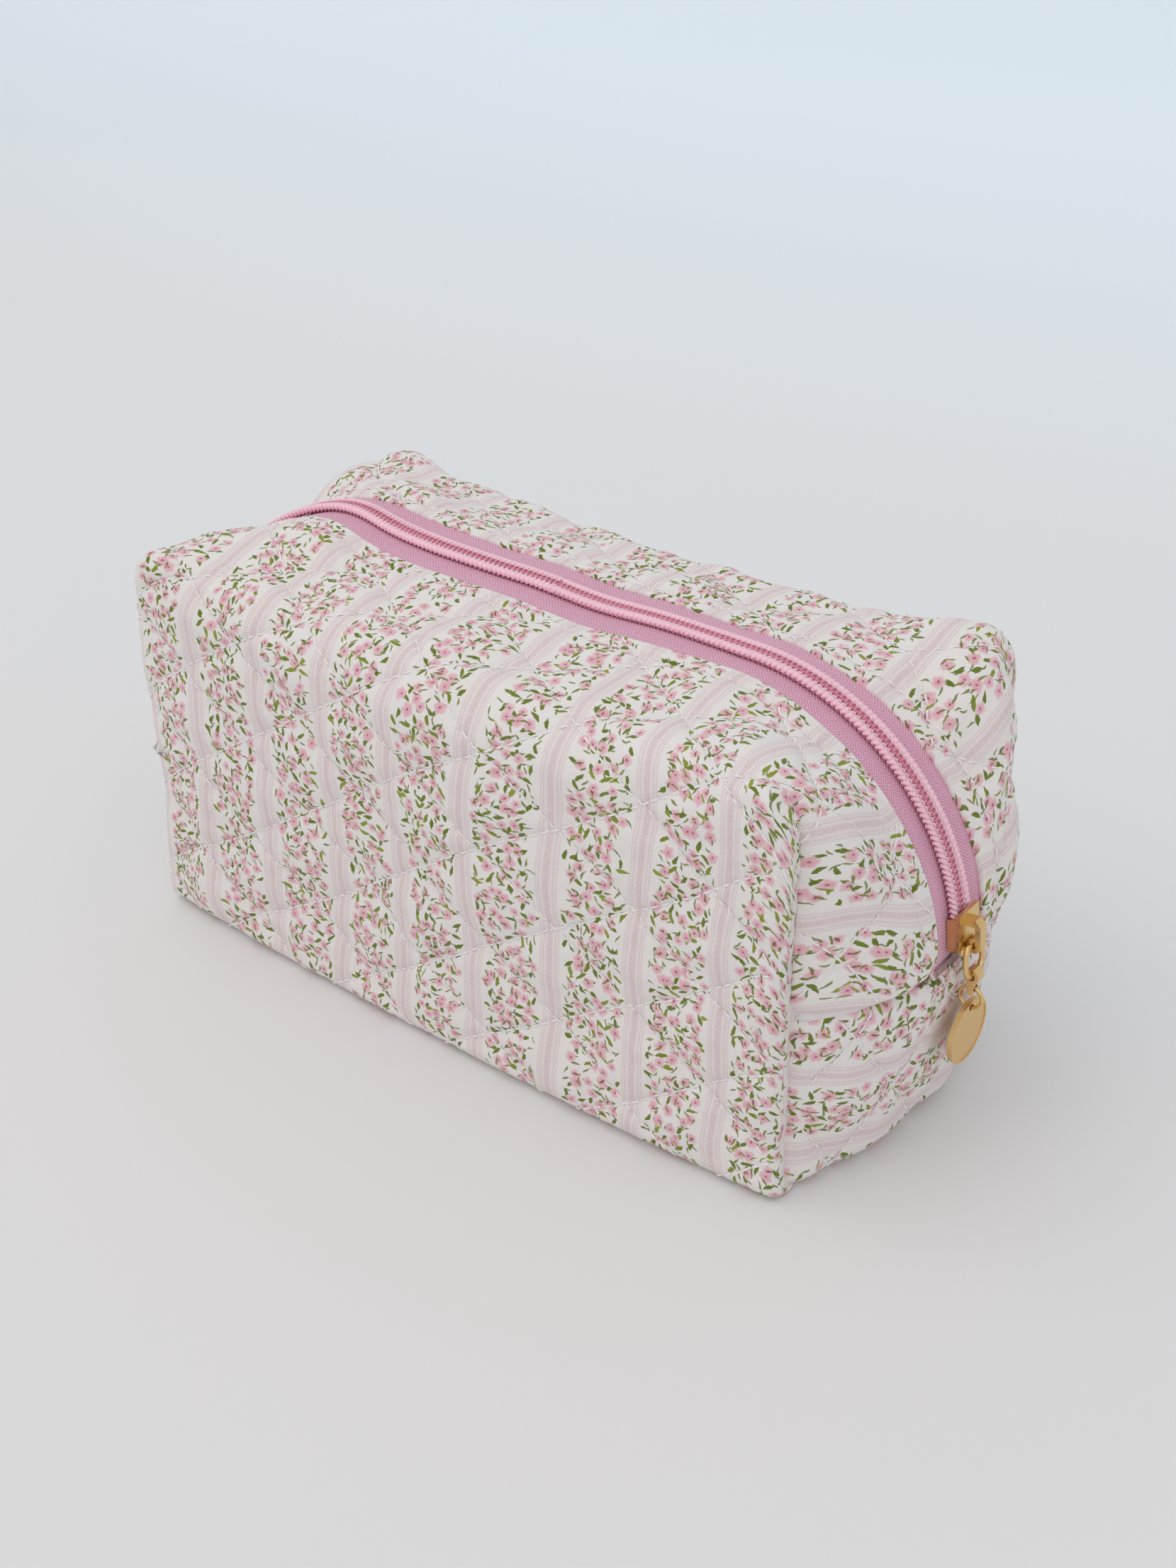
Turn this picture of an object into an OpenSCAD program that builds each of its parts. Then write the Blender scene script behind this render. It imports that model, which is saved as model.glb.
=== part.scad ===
// Quilted box pouch for makeup: a soft boxed bag of print cloth, wadding and lining, closed over the
// top by a coil zip that runs down both ends, with a metal slider and a hanging charm.
// Frame: X along the zip, Y across it, Z up. The origin is the middle of the base, on the surface.

/* [Bag] */
// Length between the corner seams
body_l = 190; // [175:1:200]
// Width between the corner seams
body_w = 92; // [86:1:100]
// Height of the four upper corners
body_h = 102; // [98:1:110]
// How far each end swells out at its middle
end_bulge = 15; // [12:1:17]
// How far the front and back swell out at their middles
side_bulge = 3; // [2:0.5:4]
// Radius of the zip's path from the top down to the end seam
zip_r = 56; // [54:1:58]
// How square the upper ends are at the corner seams
corner_square = 7; // [4:1:9]
// How far the long edges of the top sag below the corners
edge_sag = 2.5; // [1:0.5:4]
// How far in from the long walls' middles the top flaps fold
fold_in = 12; // [9:1:14]

/* [Cloth] */
// Thickness of the print cloth, and of the lining
cloth_t = 0.8; // [0.6:0.1:0.9]
// Thickness of the wadding between them
wadding_t = 2.4; // [2:0.1:2.5]
// Width of the bound seam allowance inside the bag
binding_w = 8; // [6:1:9]
// Thickness of the bound seam allowance
binding_t = 1.3; // [1:0.1:1.5]

/* [Zip] */
// Distance from the zip's middle to the folded edge of the cloth
lap_y = 10; // [9:0.5:12]
// Thickness of the zip tape
tape_t = 0.6; // [0.5:0.1:0.7]
// Width of one row of coil
coil_w = 2; // [1.8:0.1:2.1]
// Height of the coil above the tape
coil_h = 1.9; // [1.7:0.1:1.9]
// Half of the channel that the slider's wedge runs in between the rows
coil_gap = 1.1; // [1.1:0.1:1.2]

/* [Slider and charm] */
// Length of the slider
slider_l = 11; // [10:0.5:11]
// Greatest width of the slider
slider_w = 9.2; // [9.2:0.1:9.8]
// Thickness of the slider's plates
plate_t = 1; // [0.8:0.1:1.1]
// Where the slider waits on its path, as an angle above the end seam
slider_rest = 7; // [7:0.5:9]
// Length of the pull link between its two cross wires
link_l = 8; // [8:0.5:9]
// Width of the pull link between its side wires
link_w = 7.2; // [6.8:0.1:7.6]
// Wire of the pull link
link_wire = 1.2; // [1:0.1:1.2]
// Radius of the jump ring's centreline
ring_r = 2.6; // [2.6:0.1:2.8]
// Wire of the jump ring
ring_wire = 0.9; // [0.8:0.1:0.9]
// Diameter of the charm disc
disc_d = 15.5; // [14:0.5:17]
// Thickness of the charm disc
disc_t = 1.2; // [1:0.1:1.4]

/* [Hidden] */
body_gap = 0.3;
wall_t = 2 * cloth_t + wadding_t;
wadding_in = cloth_t;
lining_in = cloth_t + wadding_t;
zip_x = body_l / 2 + end_bulge - zip_r;
seam_z = body_h - zip_r;
end_y = body_w / 2 - wall_t - 0.5;
fold_y = body_w / 2 + side_bulge - fold_in;
fold_z = body_h - edge_sag;
lap_z = fold_z + 2;
flap_tilt = atan((lap_z - fold_z) / (fold_y - lap_y));
flap_x = zip_x - body_gap;
tape_r = zip_r - 2.1;
end_arc_r = (pow(end_y, 2) + pow(end_bulge, 2)) / (2 * end_bulge);
side_arc_r = (pow(body_l / 2, 2) + pow(side_bulge, 2)) / (2 * side_bulge);
reach = 400;
across_steps = 6;
round_steps = 8;
wall_columns = 16;
rim_steps = 5;
ear_start = 68;
upper_plate_r = tape_r + coil_h + 0.5;
lower_plate_r = tape_r - tape_t - 0.7 - plate_t;
plate_top_r = upper_plate_r + plate_t;
crown_w = 2.6;
crown_window = 1.9;
crown_h = 3.2;
wedge_w = 1.6;
link_r = plate_top_r + crown_window / 2;
link_top = -2.1;
link_bottom = link_top - link_l;
link_top_corner = 2.2;
link_low_corner = 3.2;
bail_x = zip_x + link_r * cos(slider_rest) - link_bottom * sin(slider_rest);
bail_z = seam_z + link_r * sin(slider_rest) + link_bottom * cos(slider_rest);
bail_eye_z = bail_z - 3.2;
bail_eye_r = 0.85;
disc_hole_z = bail_eye_z - 2 * ring_r;
disc_hole_in = 1.6;
disc_z = disc_hole_z - disc_d / 2 + disc_hole_in;
binding_x = body_l / 2 - wall_t - binding_w - 0.5;
binding_top = 0.8 * body_h;
binding_y = body_w / 2 - wall_t - 1;

// The base's outline seen from above, inset by depth: long sides on two large arcs, and a smaller
// arc across each end between the corner seams.
module plan(depth) {
    side_arc_y = body_w / 2 + side_bulge - side_arc_r;
    end_arc_x = body_l / 2 + end_bulge - end_arc_r;
    intersection() {
        translate([0, side_arc_y]) circle(r = side_arc_r - depth, $fn = 1440);
        translate([0, -side_arc_y]) circle(r = side_arc_r - depth, $fn = 1440);
        union() {
            square([body_l - 2 * depth, 2 * body_w], center = true);
            for (end = [-1, 1]) {
                intersection() {
                    translate([end * end_arc_x, 0]) circle(r = end_arc_r - depth, $fn = 360);
                    translate([end * reach / 2, 0]) square([reach, 2 * end_y], center = true);
                }
            }
        }
    }
}

// The standing skin of a lower end, between two depths and up to a height.
module end_lower(end, from_depth, to_depth, high) {
    linear_extrude(high) intersection() {
        difference() {
            plan(from_depth);
            plan(to_depth);
        }
        translate([end > 0 ? 0 : -reach, -end_y]) square([reach, 2 * end_y]);
    }
}

// One skin of the base and both lower ends in a single piece.
module base_skin(from_depth, to_depth) {
    translate([0, 0, from_depth]) linear_extrude(to_depth - from_depth) plan(wall_t);
    translate([0, 0, from_depth]) {
        end_lower(1, from_depth, wall_t, to_depth - from_depth);
        end_lower(-1, from_depth, wall_t, to_depth - from_depth);
        end_lower(1, from_depth, to_depth, seam_z - from_depth);
        end_lower(-1, from_depth, to_depth, seam_z - from_depth);
    }
}

// Smooth step from 0 to 1.
function smooth(t) = let (c = min(1, max(0, t))) c * c * (3 - 2 * c);
// How far along the ear a place is, from the straight fold to the corner.
function ear(x) = smooth((abs(x) - ear_start) / (body_l / 2 - ear_start));
// The line where the top meets the rim of a long wall: straight in the middle, out and up at the ears.
function rim_y(x) = fold_y + (end_y - fold_y) * ear(x);
function rim_rise(x) = edge_sag * ear(x);

// The upper end: a rounded quarter profile that grows square towards the corner seam.
function squareness(share) = 2 + corner_square * pow(share, 2.5);
function profile_r(angle, n) = pow(pow(cos(angle), n) + pow(sin(angle), n), -1 / n);
function end_depth(share) = body_l / 2 + end_bulge * (1 - pow(share, 2)) - zip_x;
function end_x(share, angle, depth) =
    zip_x + (end_depth(share) - depth) * cos(angle) * profile_r(angle, squareness(share));
function top_height(share, x) = lap_z - (lap_z - fold_z) * share + rim_rise(x) * pow(share, 2) - seam_z;
function end_point(share, angle, depth) = let (x = end_x(share, angle, depth)) [
    x,
    lap_y + (rim_y(x) - 0.1 - lap_y) * share,
    seam_z + (top_height(share, x) - depth) * sin(angle) * profile_r(angle, squareness(share))
];

// The long wall's end, which leans in with the ear, and its top, which is the rim line.
ear_angle = 45;
ear_x = end_x(1, ear_angle, 0);
function side_fall(z) = pow(max(0, z - seam_z) / top_height(1, body_l / 2), squareness(1));
function wall_end_x(z) =
    max(ear_x, zip_x + end_depth(1) * pow(max(0, 1 - side_fall(z)), 1 / squareness(1)));
function rim_fall(x) = pow(max(0, abs(x) - zip_x) / end_depth(1), squareness(1));
function rim_z(x) =
    seam_z + top_height(1, x) * pow(max(0, 1 - rim_fall(x)), 1 / squareness(1));
function wall_out(x) = body_w / 2 + side_bulge * max(0, 1 - pow(2 * x / body_l, 2));
function rim_height(x) = fold_in * (1 - 0.6 * ear(x));
function rim_square(x) = 2 + 2 * ear(x);

// A point of a long wall: share along it, and row up it, first the standing rows and then the rim.
wall_rows = [0, 0.3, 0.6, 0.85];
function standing_point(along, share, depth) = let (
    x_top = along * ear_x,
    z = share * (rim_z(x_top) - rim_height(x_top)),
    x = along * wall_end_x(z)
) [x, wall_out(x) - depth, z];
function rim_point(along, angle, depth) = let (
    x_top = along * ear_x,
    high = rim_height(x_top),
    n = rim_square(x_top),
    z = rim_z(x_top) - high + (high - depth) * sin(angle) * profile_r(angle, n),
    x = along * wall_end_x(z)
) [x, rim_y(x_top) + (wall_out(x) - rim_y(x_top) - depth) * cos(angle) * profile_r(angle, n), z];
function wall_point(along, row, depth) =
    row < len(wall_rows)
        ? standing_point(along, wall_rows[row], depth)
        : rim_point(along, 90 * (row - len(wall_rows)) / rim_steps, depth);

// A closed skin from two grids of points, the outer one first, each with that many rows and columns.
module grid_skin(points, rows, columns) {
    skin = rows * columns;
    rim = concat(
        [for (i = [0:rows - 2]) i * columns],
        [for (j = [0:columns - 2]) (rows - 1) * columns + j],
        [for (i = [rows - 1:-1:1]) i * columns + columns - 1],
        [for (j = [columns - 1:-1:1]) j]
    );
    outside = [for (i = [0:rows - 2], j = [0:columns - 2], half = [0, 1]) let (a = i * columns + j)
        half == 0 ? [a, a + 1, a + columns] : [a + 1, a + columns + 1, a + columns]];
    inside = [for (face = outside) [face[0] + skin, face[2] + skin, face[1] + skin]];
    edge = [for (k = [0:len(rim) - 1], half = [0, 1]) let (a = rim[k], b = rim[(k + 1) % len(rim)])
        half == 0 ? [a, b, b + skin] : [a, b + skin, a + skin]];
    polyhedron(points, concat(outside, inside, edge), convexity = 4);
}

// One skin of a long wall with its rounded rim, on the back (side 1) or the front (side -1).
module long_wall(side, from_depth, to_depth) {
    rows = len(wall_rows) + rim_steps + 1;
    mirror([0, side > 0 ? 0 : 1, 0]) grid_skin([
        for (depth = [from_depth, to_depth], j = [0:wall_columns], i = [0:rows - 1])
            wall_point(2 * j / wall_columns - 1, i, depth)
    ], wall_columns + 1, rows);
}

// One skin of an upper end quarter, between the zip and a corner seam.
module end_quarter(from_depth, to_depth) {
    grid_skin([
        for (depth = [from_depth, to_depth], i = [0:across_steps], j = [0:round_steps])
            end_point(i / across_steps, 90 * j / round_steps, depth)
    ], across_steps + 1, round_steps + 1);
}

// Places an upper end quarter: right or left end, front or back of the zip.
module placed_quarter(end, side, from_depth, to_depth) {
    mirror([end > 0 ? 0 : 1, 0, 0]) mirror([0, side > 0 ? 0 : 1, 0]) end_quarter(from_depth, to_depth);
}

module all_quarters(from_depth, to_depth) {
    for (end = [-1, 1], side = [-1, 1]) {
        placed_quarter(end, side, from_depth, to_depth);
    }
}

// One skin of a top flap, from the fold line up to the zip.
module flap_skin(side, from_depth, to_depth) {
    flap_w = (fold_y - lap_y) / cos(flap_tilt) - body_gap;
    translate([0, side * fold_y, fold_z]) rotate([-side * flap_tilt, 0, 0])
        translate([-flap_x, side > 0 ? -flap_w - body_gap : body_gap, -to_depth])
        cube([2 * flap_x, flap_w, to_depth - from_depth]);
}

module flap_outer(side) {
    color("mistyrose") flap_skin(side, 0, cloth_t);
}

module flap_wadding(side) {
    color("white") flap_skin(side, wadding_in, lining_in);
}

module flap_lining(side) {
    color("linen") flap_skin(side, lining_in, wall_t);
}

// A strip that follows the zip round an end, between two radii and two distances from its middle.
module end_strip(end, side, from_r, to_r, from_y, to_y) {
    translate([end * zip_x, side > 0 ? to_y : -from_y, seam_z]) rotate([90, 0, 0])
        linear_extrude(to_y - from_y) intersection() {
            difference() {
                circle(r = to_r, $fn = 180);
                circle(r = from_r, $fn = 180);
            }
            translate([end > 0 ? 0 : -reach, 0]) square([reach, reach]);
        }
}

// A straight strip of the zip on a flap.
module flap_strip(side, from_r, to_r, from_y, to_y) {
    translate([-flap_x, side > 0 ? from_y : -to_y, seam_z + from_r])
        cube([2 * flap_x, to_y - from_y, to_r - from_r]);
}

module end_tape(end, side) {
    color("plum") end_strip(end, side, tape_r - tape_t, tape_r, coil_gap + 0.2, lap_y);
}

module end_coil(end, side) {
    color("hotpink") end_strip(end, side, tape_r, tape_r + coil_h, coil_gap, coil_gap + coil_w);
}

module flap_tape(side) {
    color("plum") flap_strip(side, tape_r - tape_t, tape_r, coil_gap + 0.2, lap_y - 0.25);
}

module flap_coil(side) {
    color("hotpink") flap_strip(side, tape_r, tape_r + coil_h, coil_gap, coil_gap + coil_w);
}

// The bound seam allowance inside a corner seam, lying against the long wall.
module corner_binding(end, side) {
    color("thistle") translate([
        end > 0 ? binding_x : -binding_x - binding_w,
        side > 0 ? binding_y - binding_t : -binding_y,
        wall_t + 1
    ]) cube([binding_w, binding_t, binding_top - wall_t - 1]);
}

// The bound seam allowance inside an end seam, lying against the lower end.
module end_binding(end) {
    color("thistle") intersection() {
        translate([0, 0, seam_z - binding_w + 1])
            end_lower(end, wall_t + 0.3, wall_t + 0.3 + binding_t, binding_w - 1.2);
        translate([-reach / 2, -end_y + 6, 0]) cube([reach, 2 * (end_y - 6), reach]);
    }
}

module outer_wall(side) {
    color("mistyrose") long_wall(side, 0, cloth_t);
}

module outer_bottom() {
    color("mistyrose") {
        linear_extrude(cloth_t) plan(wall_t);
        end_lower(1, cloth_t, wall_t, cloth_t);
        end_lower(-1, cloth_t, wall_t, cloth_t);
    }
}

module outer_end_lower(end) {
    color("mistyrose") end_lower(end, 0, cloth_t, seam_z);
}

module outer_quarter(end, side) {
    color("lavenderblush") placed_quarter(end, side, 0, cloth_t);
}

module wadding_wall(side) {
    color("white") long_wall(side, wadding_in, lining_in);
}

module wadding_base() {
    color("white") base_skin(wadding_in, lining_in);
}

module wadding_end_quarters() {
    color("white") all_quarters(wadding_in, lining_in);
}

module lining_wall(side) {
    color("linen") long_wall(side, lining_in, wall_t);
}

module lining_base() {
    color("linen") base_skin(lining_in, wall_t);
}

module lining_end_quarters() {
    color("linen") all_quarters(lining_in, wall_t);
}

// Stands the slider's own frame on the zip's path: X out of the bag, Y across, Z up along the zip.
module on_path() {
    translate([zip_x, 0, seam_z]) rotate([0, -slider_rest, 0]) children();
}

// Outline of a slider plate across and along the zip: straight at the rear, round at the nose.
function plate_outline() = concat(
    [[-0.44 * slider_w, slider_l / 2], [-0.5 * slider_w, -0.05 * slider_l]],
    [for (a = [200:20:340]) [0.5 * slider_w * cos(a), -0.12 * slider_l + 0.38 * slider_l * sin(a)]],
    [[0.5 * slider_w, -0.05 * slider_l], [0.44 * slider_w, slider_l / 2]]
);

// A slab with that outline from one radius to another.
module plate(from_r, to_r) {
    translate([from_r, 0, 0]) rotate([90, 0, 90]) linear_extrude(to_r - from_r) polygon(plate_outline());
}

module slider_body() {
    flange_low = tape_r + 0.35;
    color("gold") on_path() {
        plate(upper_plate_r, plate_top_r);
        plate(lower_plate_r, lower_plate_r + plate_t);
        translate([lower_plate_r, -wedge_w / 2, -0.42 * slider_l])
            cube([plate_top_r - lower_plate_r, wedge_w, 0.36 * slider_l]);
        for (side = [-1, 1]) {
            translate([flange_low, side * (slider_w / 2 - 0.7) - 0.3, -0.3 * slider_l])
                cube([upper_plate_r - flange_low + 0.1, 0.6, 0.7 * slider_l]);
        }
    }
}

// The bridge over the slider that carries the link: an arch with a window through it.
module slider_crown() {
    color("goldenrod") on_path() translate([plate_top_r, crown_w / 2, 0]) rotate([90, 0, 0])
        linear_extrude(crown_w) difference() {
            polygon([
                [0, -4], [crown_h - 1, -4], [crown_h, -3],
                [crown_h, 2.4], [crown_h - 1.2, 3.8], [0, 3.8]
            ]);
            translate([0, -3]) square([crown_window, 5.2]);
        }
}

// A quarter turn of wire round a corner of the link; turn picks which of the four corners.
module wire_corner(radius, wire, turn) {
    rotate([0, 90, 0]) rotate([0, 0, turn]) rotate_extrude(angle = 90, $fn = 48)
        translate([radius, 0]) circle(d = wire, $fn = 32);
}

// A pear-shaped wire loop in the plane across and along the zip, hanging from its upper cross wire.
module wire_loop(width, length, top_corner, low_corner, wire) {
    for (side = [-1, 1]) {
        translate([0, side * width / 2, low_corner - length])
            cylinder(d = wire, h = length - top_corner - low_corner, $fn = 32);
        translate([0, side * (width / 2 - top_corner), -top_corner])
            wire_corner(top_corner, wire, side > 0 ? 90 : 180);
        translate([0, side * (width / 2 - low_corner), low_corner - length])
            wire_corner(low_corner, wire, side > 0 ? 0 : 270);
    }
    translate([0, width / 2 - top_corner, 0]) rotate([90, 0, 0])
        cylinder(d = wire, h = width - 2 * top_corner, $fn = 32);
    translate([0, width / 2 - low_corner, -length]) rotate([90, 0, 0])
        cylinder(d = wire, h = width - 2 * low_corner, $fn = 32);
}

module pull_link() {
    color("gold") on_path() translate([link_r, 0, link_top])
        wire_loop(link_w, link_l, link_top_corner, link_low_corner, link_wire);
}

// A short strap bail: an eye round the link's lower wire and a stem with a cross hole for the ring.
module pull_bail() {
    color("goldenrod") translate([bail_x, 0, bail_z]) difference() {
        union() {
            rotate([90, 0, 0]) cylinder(d = 3.5, h = 2.6, center = true, $fn = 48);
            translate([-0.8, -1.2, -4.6]) cube([1.6, 2.4, 3.8]);
        }
        rotate([90, 0, 0]) cylinder(d = 1.9, h = 4, center = true, $fn = 48);
        translate([0, 0, bail_eye_z - bail_z]) rotate([0, 90, 0])
            cylinder(r = bail_eye_r, h = 4, center = true, $fn = 48);
    }
}

module jump_ring() {
    color("gold") translate([bail_x, 0, bail_eye_z - ring_r]) rotate([90, 0, 0])
        rotate_extrude($fn = 64) translate([ring_r, 0]) circle(d = ring_wire, $fn = 32);
}

// A plain disc with a thin raised rim on its outer face and a hole for the ring.
module charm_disc() {
    color("gold") difference() {
        translate([bail_x - disc_t / 2, 0, disc_z]) rotate([0, 90, 0]) difference() {
            cylinder(d = disc_d, h = disc_t, $fn = 96);
            translate([0, 0, disc_t - 0.15]) cylinder(d = disc_d - 1.2, h = 1, $fn = 96);
        }
        translate([bail_x, 0, disc_hole_z]) rotate([0, 90, 0])
            cylinder(r = bail_eye_r, h = 4, center = true, $fn = 48);
    }
}

outer_wall(-1);  // outer_front
outer_wall(1);  // outer_back
outer_bottom();
outer_end_lower(1);  // outer_end_lower_right
outer_end_lower(-1);  // outer_end_lower_left
outer_quarter(1, -1);  // outer_end_front_right
outer_quarter(1, 1);  // outer_end_back_right
outer_quarter(-1, -1);  // outer_end_front_left
outer_quarter(-1, 1);  // outer_end_back_left
wadding_wall(-1);  // wadding_front
wadding_wall(1);  // wadding_back
wadding_base();
wadding_end_quarters();
lining_wall(-1);  // lining_front
lining_wall(1);  // lining_back
lining_base();
lining_end_quarters();
corner_binding(1, -1);  // binding_front_right
corner_binding(1, 1);  // binding_back_right
corner_binding(-1, -1);  // binding_front_left
corner_binding(-1, 1);  // binding_back_left
end_binding(1);  // binding_end_right
end_binding(-1);  // binding_end_left
end_tape(1, -1);  // tape_front_right_end
end_tape(1, 1);  // tape_back_right_end
end_tape(-1, -1);  // tape_front_left_end
end_tape(-1, 1);  // tape_back_left_end
end_coil(1, -1);  // coil_front_right_end
end_coil(1, 1);  // coil_back_right_end
end_coil(-1, -1);  // coil_front_left_end
end_coil(-1, 1);  // coil_back_left_end
flap_outer(-1);  // front_flap_outer
flap_wadding(-1);  // front_flap_wadding
flap_lining(-1);  // front_flap_lining
flap_tape(-1);  // front_flap_tape
flap_coil(-1);  // front_flap_coil
flap_outer(1);  // back_flap_outer
flap_wadding(1);  // back_flap_wadding
flap_lining(1);  // back_flap_lining
flap_tape(1);  // back_flap_tape
flap_coil(1);  // back_flap_coil
slider_body();
slider_crown();
pull_link();
pull_bail();
jump_ring();
charm_disc();
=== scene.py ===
"""Dressed model of a quilted box pouch for makeup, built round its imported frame.

Frame: metres, X along the zip, Y from the front to the back, Z up, the origin in the middle of the
base. Sizes inside the classes are millimetres. The cloth's own flat pattern is measured in
millimetres too: s runs along the zip and on down the ends, t runs from the front's lower edge up
over the front and on to the zip.
"""

import logging
import math
from dataclasses import dataclass
from enum import Enum
from typing import Optional

import bpy
import numpy as np
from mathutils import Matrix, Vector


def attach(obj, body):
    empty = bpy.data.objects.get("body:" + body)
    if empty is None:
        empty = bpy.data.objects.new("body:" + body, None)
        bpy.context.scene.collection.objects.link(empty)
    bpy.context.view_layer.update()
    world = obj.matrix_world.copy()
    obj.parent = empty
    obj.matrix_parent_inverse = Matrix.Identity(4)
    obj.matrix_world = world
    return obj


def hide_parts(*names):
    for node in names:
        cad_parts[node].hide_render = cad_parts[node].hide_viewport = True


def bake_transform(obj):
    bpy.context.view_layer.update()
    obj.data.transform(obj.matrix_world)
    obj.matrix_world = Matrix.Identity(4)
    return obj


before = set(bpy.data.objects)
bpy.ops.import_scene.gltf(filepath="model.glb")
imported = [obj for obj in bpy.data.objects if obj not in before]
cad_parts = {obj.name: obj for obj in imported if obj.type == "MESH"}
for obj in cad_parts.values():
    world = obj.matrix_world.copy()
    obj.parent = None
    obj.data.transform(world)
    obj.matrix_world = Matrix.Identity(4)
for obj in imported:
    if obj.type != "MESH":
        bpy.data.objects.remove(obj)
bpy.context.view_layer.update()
MM = 0.001
UV_SCALE = 0.01
ROLL_RADIUS = 1.9
ROLL_TIP = 1.2
LOG = logging.getLogger("pouch")


class Side(Enum):
    """The front or the back half of the pouch, with its sign along Y."""

    FRONT = -1
    BACK = 1

    @property
    def word(self) -> str:
        """The side's name as used in piece names."""
        return self.name.lower()


class End(Enum):
    """The left or the right half of the pouch, with its sign along X."""

    LEFT = -1
    RIGHT = 1

    @property
    def word(self) -> str:
        """The end's name as used in piece names."""
        return self.name.lower()


# ---------------------------------------------------------------- numbers and meshes


def smooth(t: np.ndarray) -> np.ndarray:
    """A step from 0 to 1 with level ends, 3t2 - 2t3 of t held between 0 and 1."""
    c = np.clip(t, 0.0, 1.0)
    return c * c * (3 - 2 * c)


def unit(v: np.ndarray) -> np.ndarray:
    """The vectors divided by their lengths."""
    return v / (np.linalg.norm(v, axis=-1, keepdims=True) + 1e-12)


def ripple(coords: np.ndarray, wavelength: float, seed: int, waves: int = 14) -> np.ndarray:
    """A smooth random field: the mean of sine waves with random directions and phases.

    Args:
        coords: points, with two or three numbers on the last axis, in millimetres.
        wavelength: the middle wavelength in millimetres.
        seed: picks the waves.
        waves: how many waves are added.

    Returns:
        One number a point, mostly from -1 to 1.
    """
    rng = np.random.default_rng(seed)
    size = coords.shape[-1]
    direction = unit(rng.normal(size=(waves, size)))
    rate = 2 * math.pi / (wavelength * rng.uniform(0.6, 1.6, waves))
    phase = rng.uniform(0, 2 * math.pi, waves)
    angles = coords @ (direction * rate[:, None]).T + phase
    return np.sin(angles).sum(axis=-1) / math.sqrt(waves) * 0.8


def grid_normals(points: np.ndarray) -> np.ndarray:
    """Unit normals of a grid: the cross product of its two difference vectors."""
    return unit(np.cross(np.gradient(points, axis=0), np.gradient(points, axis=1)))


def run_length(points: np.ndarray, axis: int) -> np.ndarray:
    """Distance along a grid's lines from their first point, added up along an axis.

    Args:
        points: the grid's points, rows by columns by three.
        axis: 0 to add up down the rows, 1 along the columns.

    Returns:
        The distance at each point.
    """
    steps = np.linalg.norm(np.diff(points, axis=axis), axis=-1)
    start = np.zeros_like(np.take(steps, [0], axis=axis))
    return np.concatenate([start, np.cumsum(steps, axis=axis)], axis=axis)


def grid_faces(rows: int, columns: int, wrap_rows: bool = False, wrap_columns: bool = False) -> np.ndarray:
    """The quads of a grid, as rows of four vertex numbers.

    Args:
        rows: rows of vertices.
        columns: vertices in a row.
        wrap_rows: True if the last row joins the first.
        wrap_columns: True if the last column joins the first.

    Returns:
        An array of four vertex numbers a face.
    """
    index = np.arange(rows * columns).reshape(rows, columns)
    if wrap_rows:
        index = np.vstack([index, index[:1]])
    if wrap_columns:
        index = np.hstack([index, index[:, :1]])
    corners = (index[:-1, :-1], index[1:, :-1], index[1:, 1:], index[:-1, 1:])
    return np.stack(corners, axis=-1).reshape(-1, 4)


def build_mesh(
    name: str, vertices: np.ndarray, faces: list, uv: Optional[np.ndarray] = None
) -> bpy.types.Object:
    """Puts vertices and faces into a new smooth mesh object.

    Args:
        name: the object's name.
        vertices: points in millimetres.
        faces: arrays of vertex numbers, one array for each number of corners.
        uv: flat-pattern place of each vertex in millimetres.

    Returns:
        The new object, in the scene, at the origin.
    """
    loops = np.concatenate([f.ravel() for f in faces]).astype(np.int32)
    sizes = np.concatenate([np.full(len(f), f.shape[1]) for f in faces])
    mesh = bpy.data.meshes.new(name)
    mesh.vertices.add(len(vertices))
    mesh.vertices.foreach_set("co", (vertices * MM).astype(np.float32).ravel())
    mesh.loops.add(len(loops))
    mesh.loops.foreach_set("vertex_index", loops)
    mesh.polygons.add(len(sizes))
    starts = np.concatenate([[0], np.cumsum(sizes)[:-1]]).astype(np.int32)
    mesh.polygons.foreach_set("loop_start", starts)
    mesh.polygons.foreach_set("use_smooth", np.ones(len(sizes), dtype=bool))
    if uv is not None:
        layer = mesh.uv_layers.new(name="pattern")
        layer.data.foreach_set("uv", (uv[loops] * UV_SCALE).astype(np.float32).ravel())
    mesh.update(calc_edges=True)
    mesh.validate()
    piece = bpy.data.objects.new(name, mesh)
    bpy.context.scene.collection.objects.link(piece)
    return piece


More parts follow.
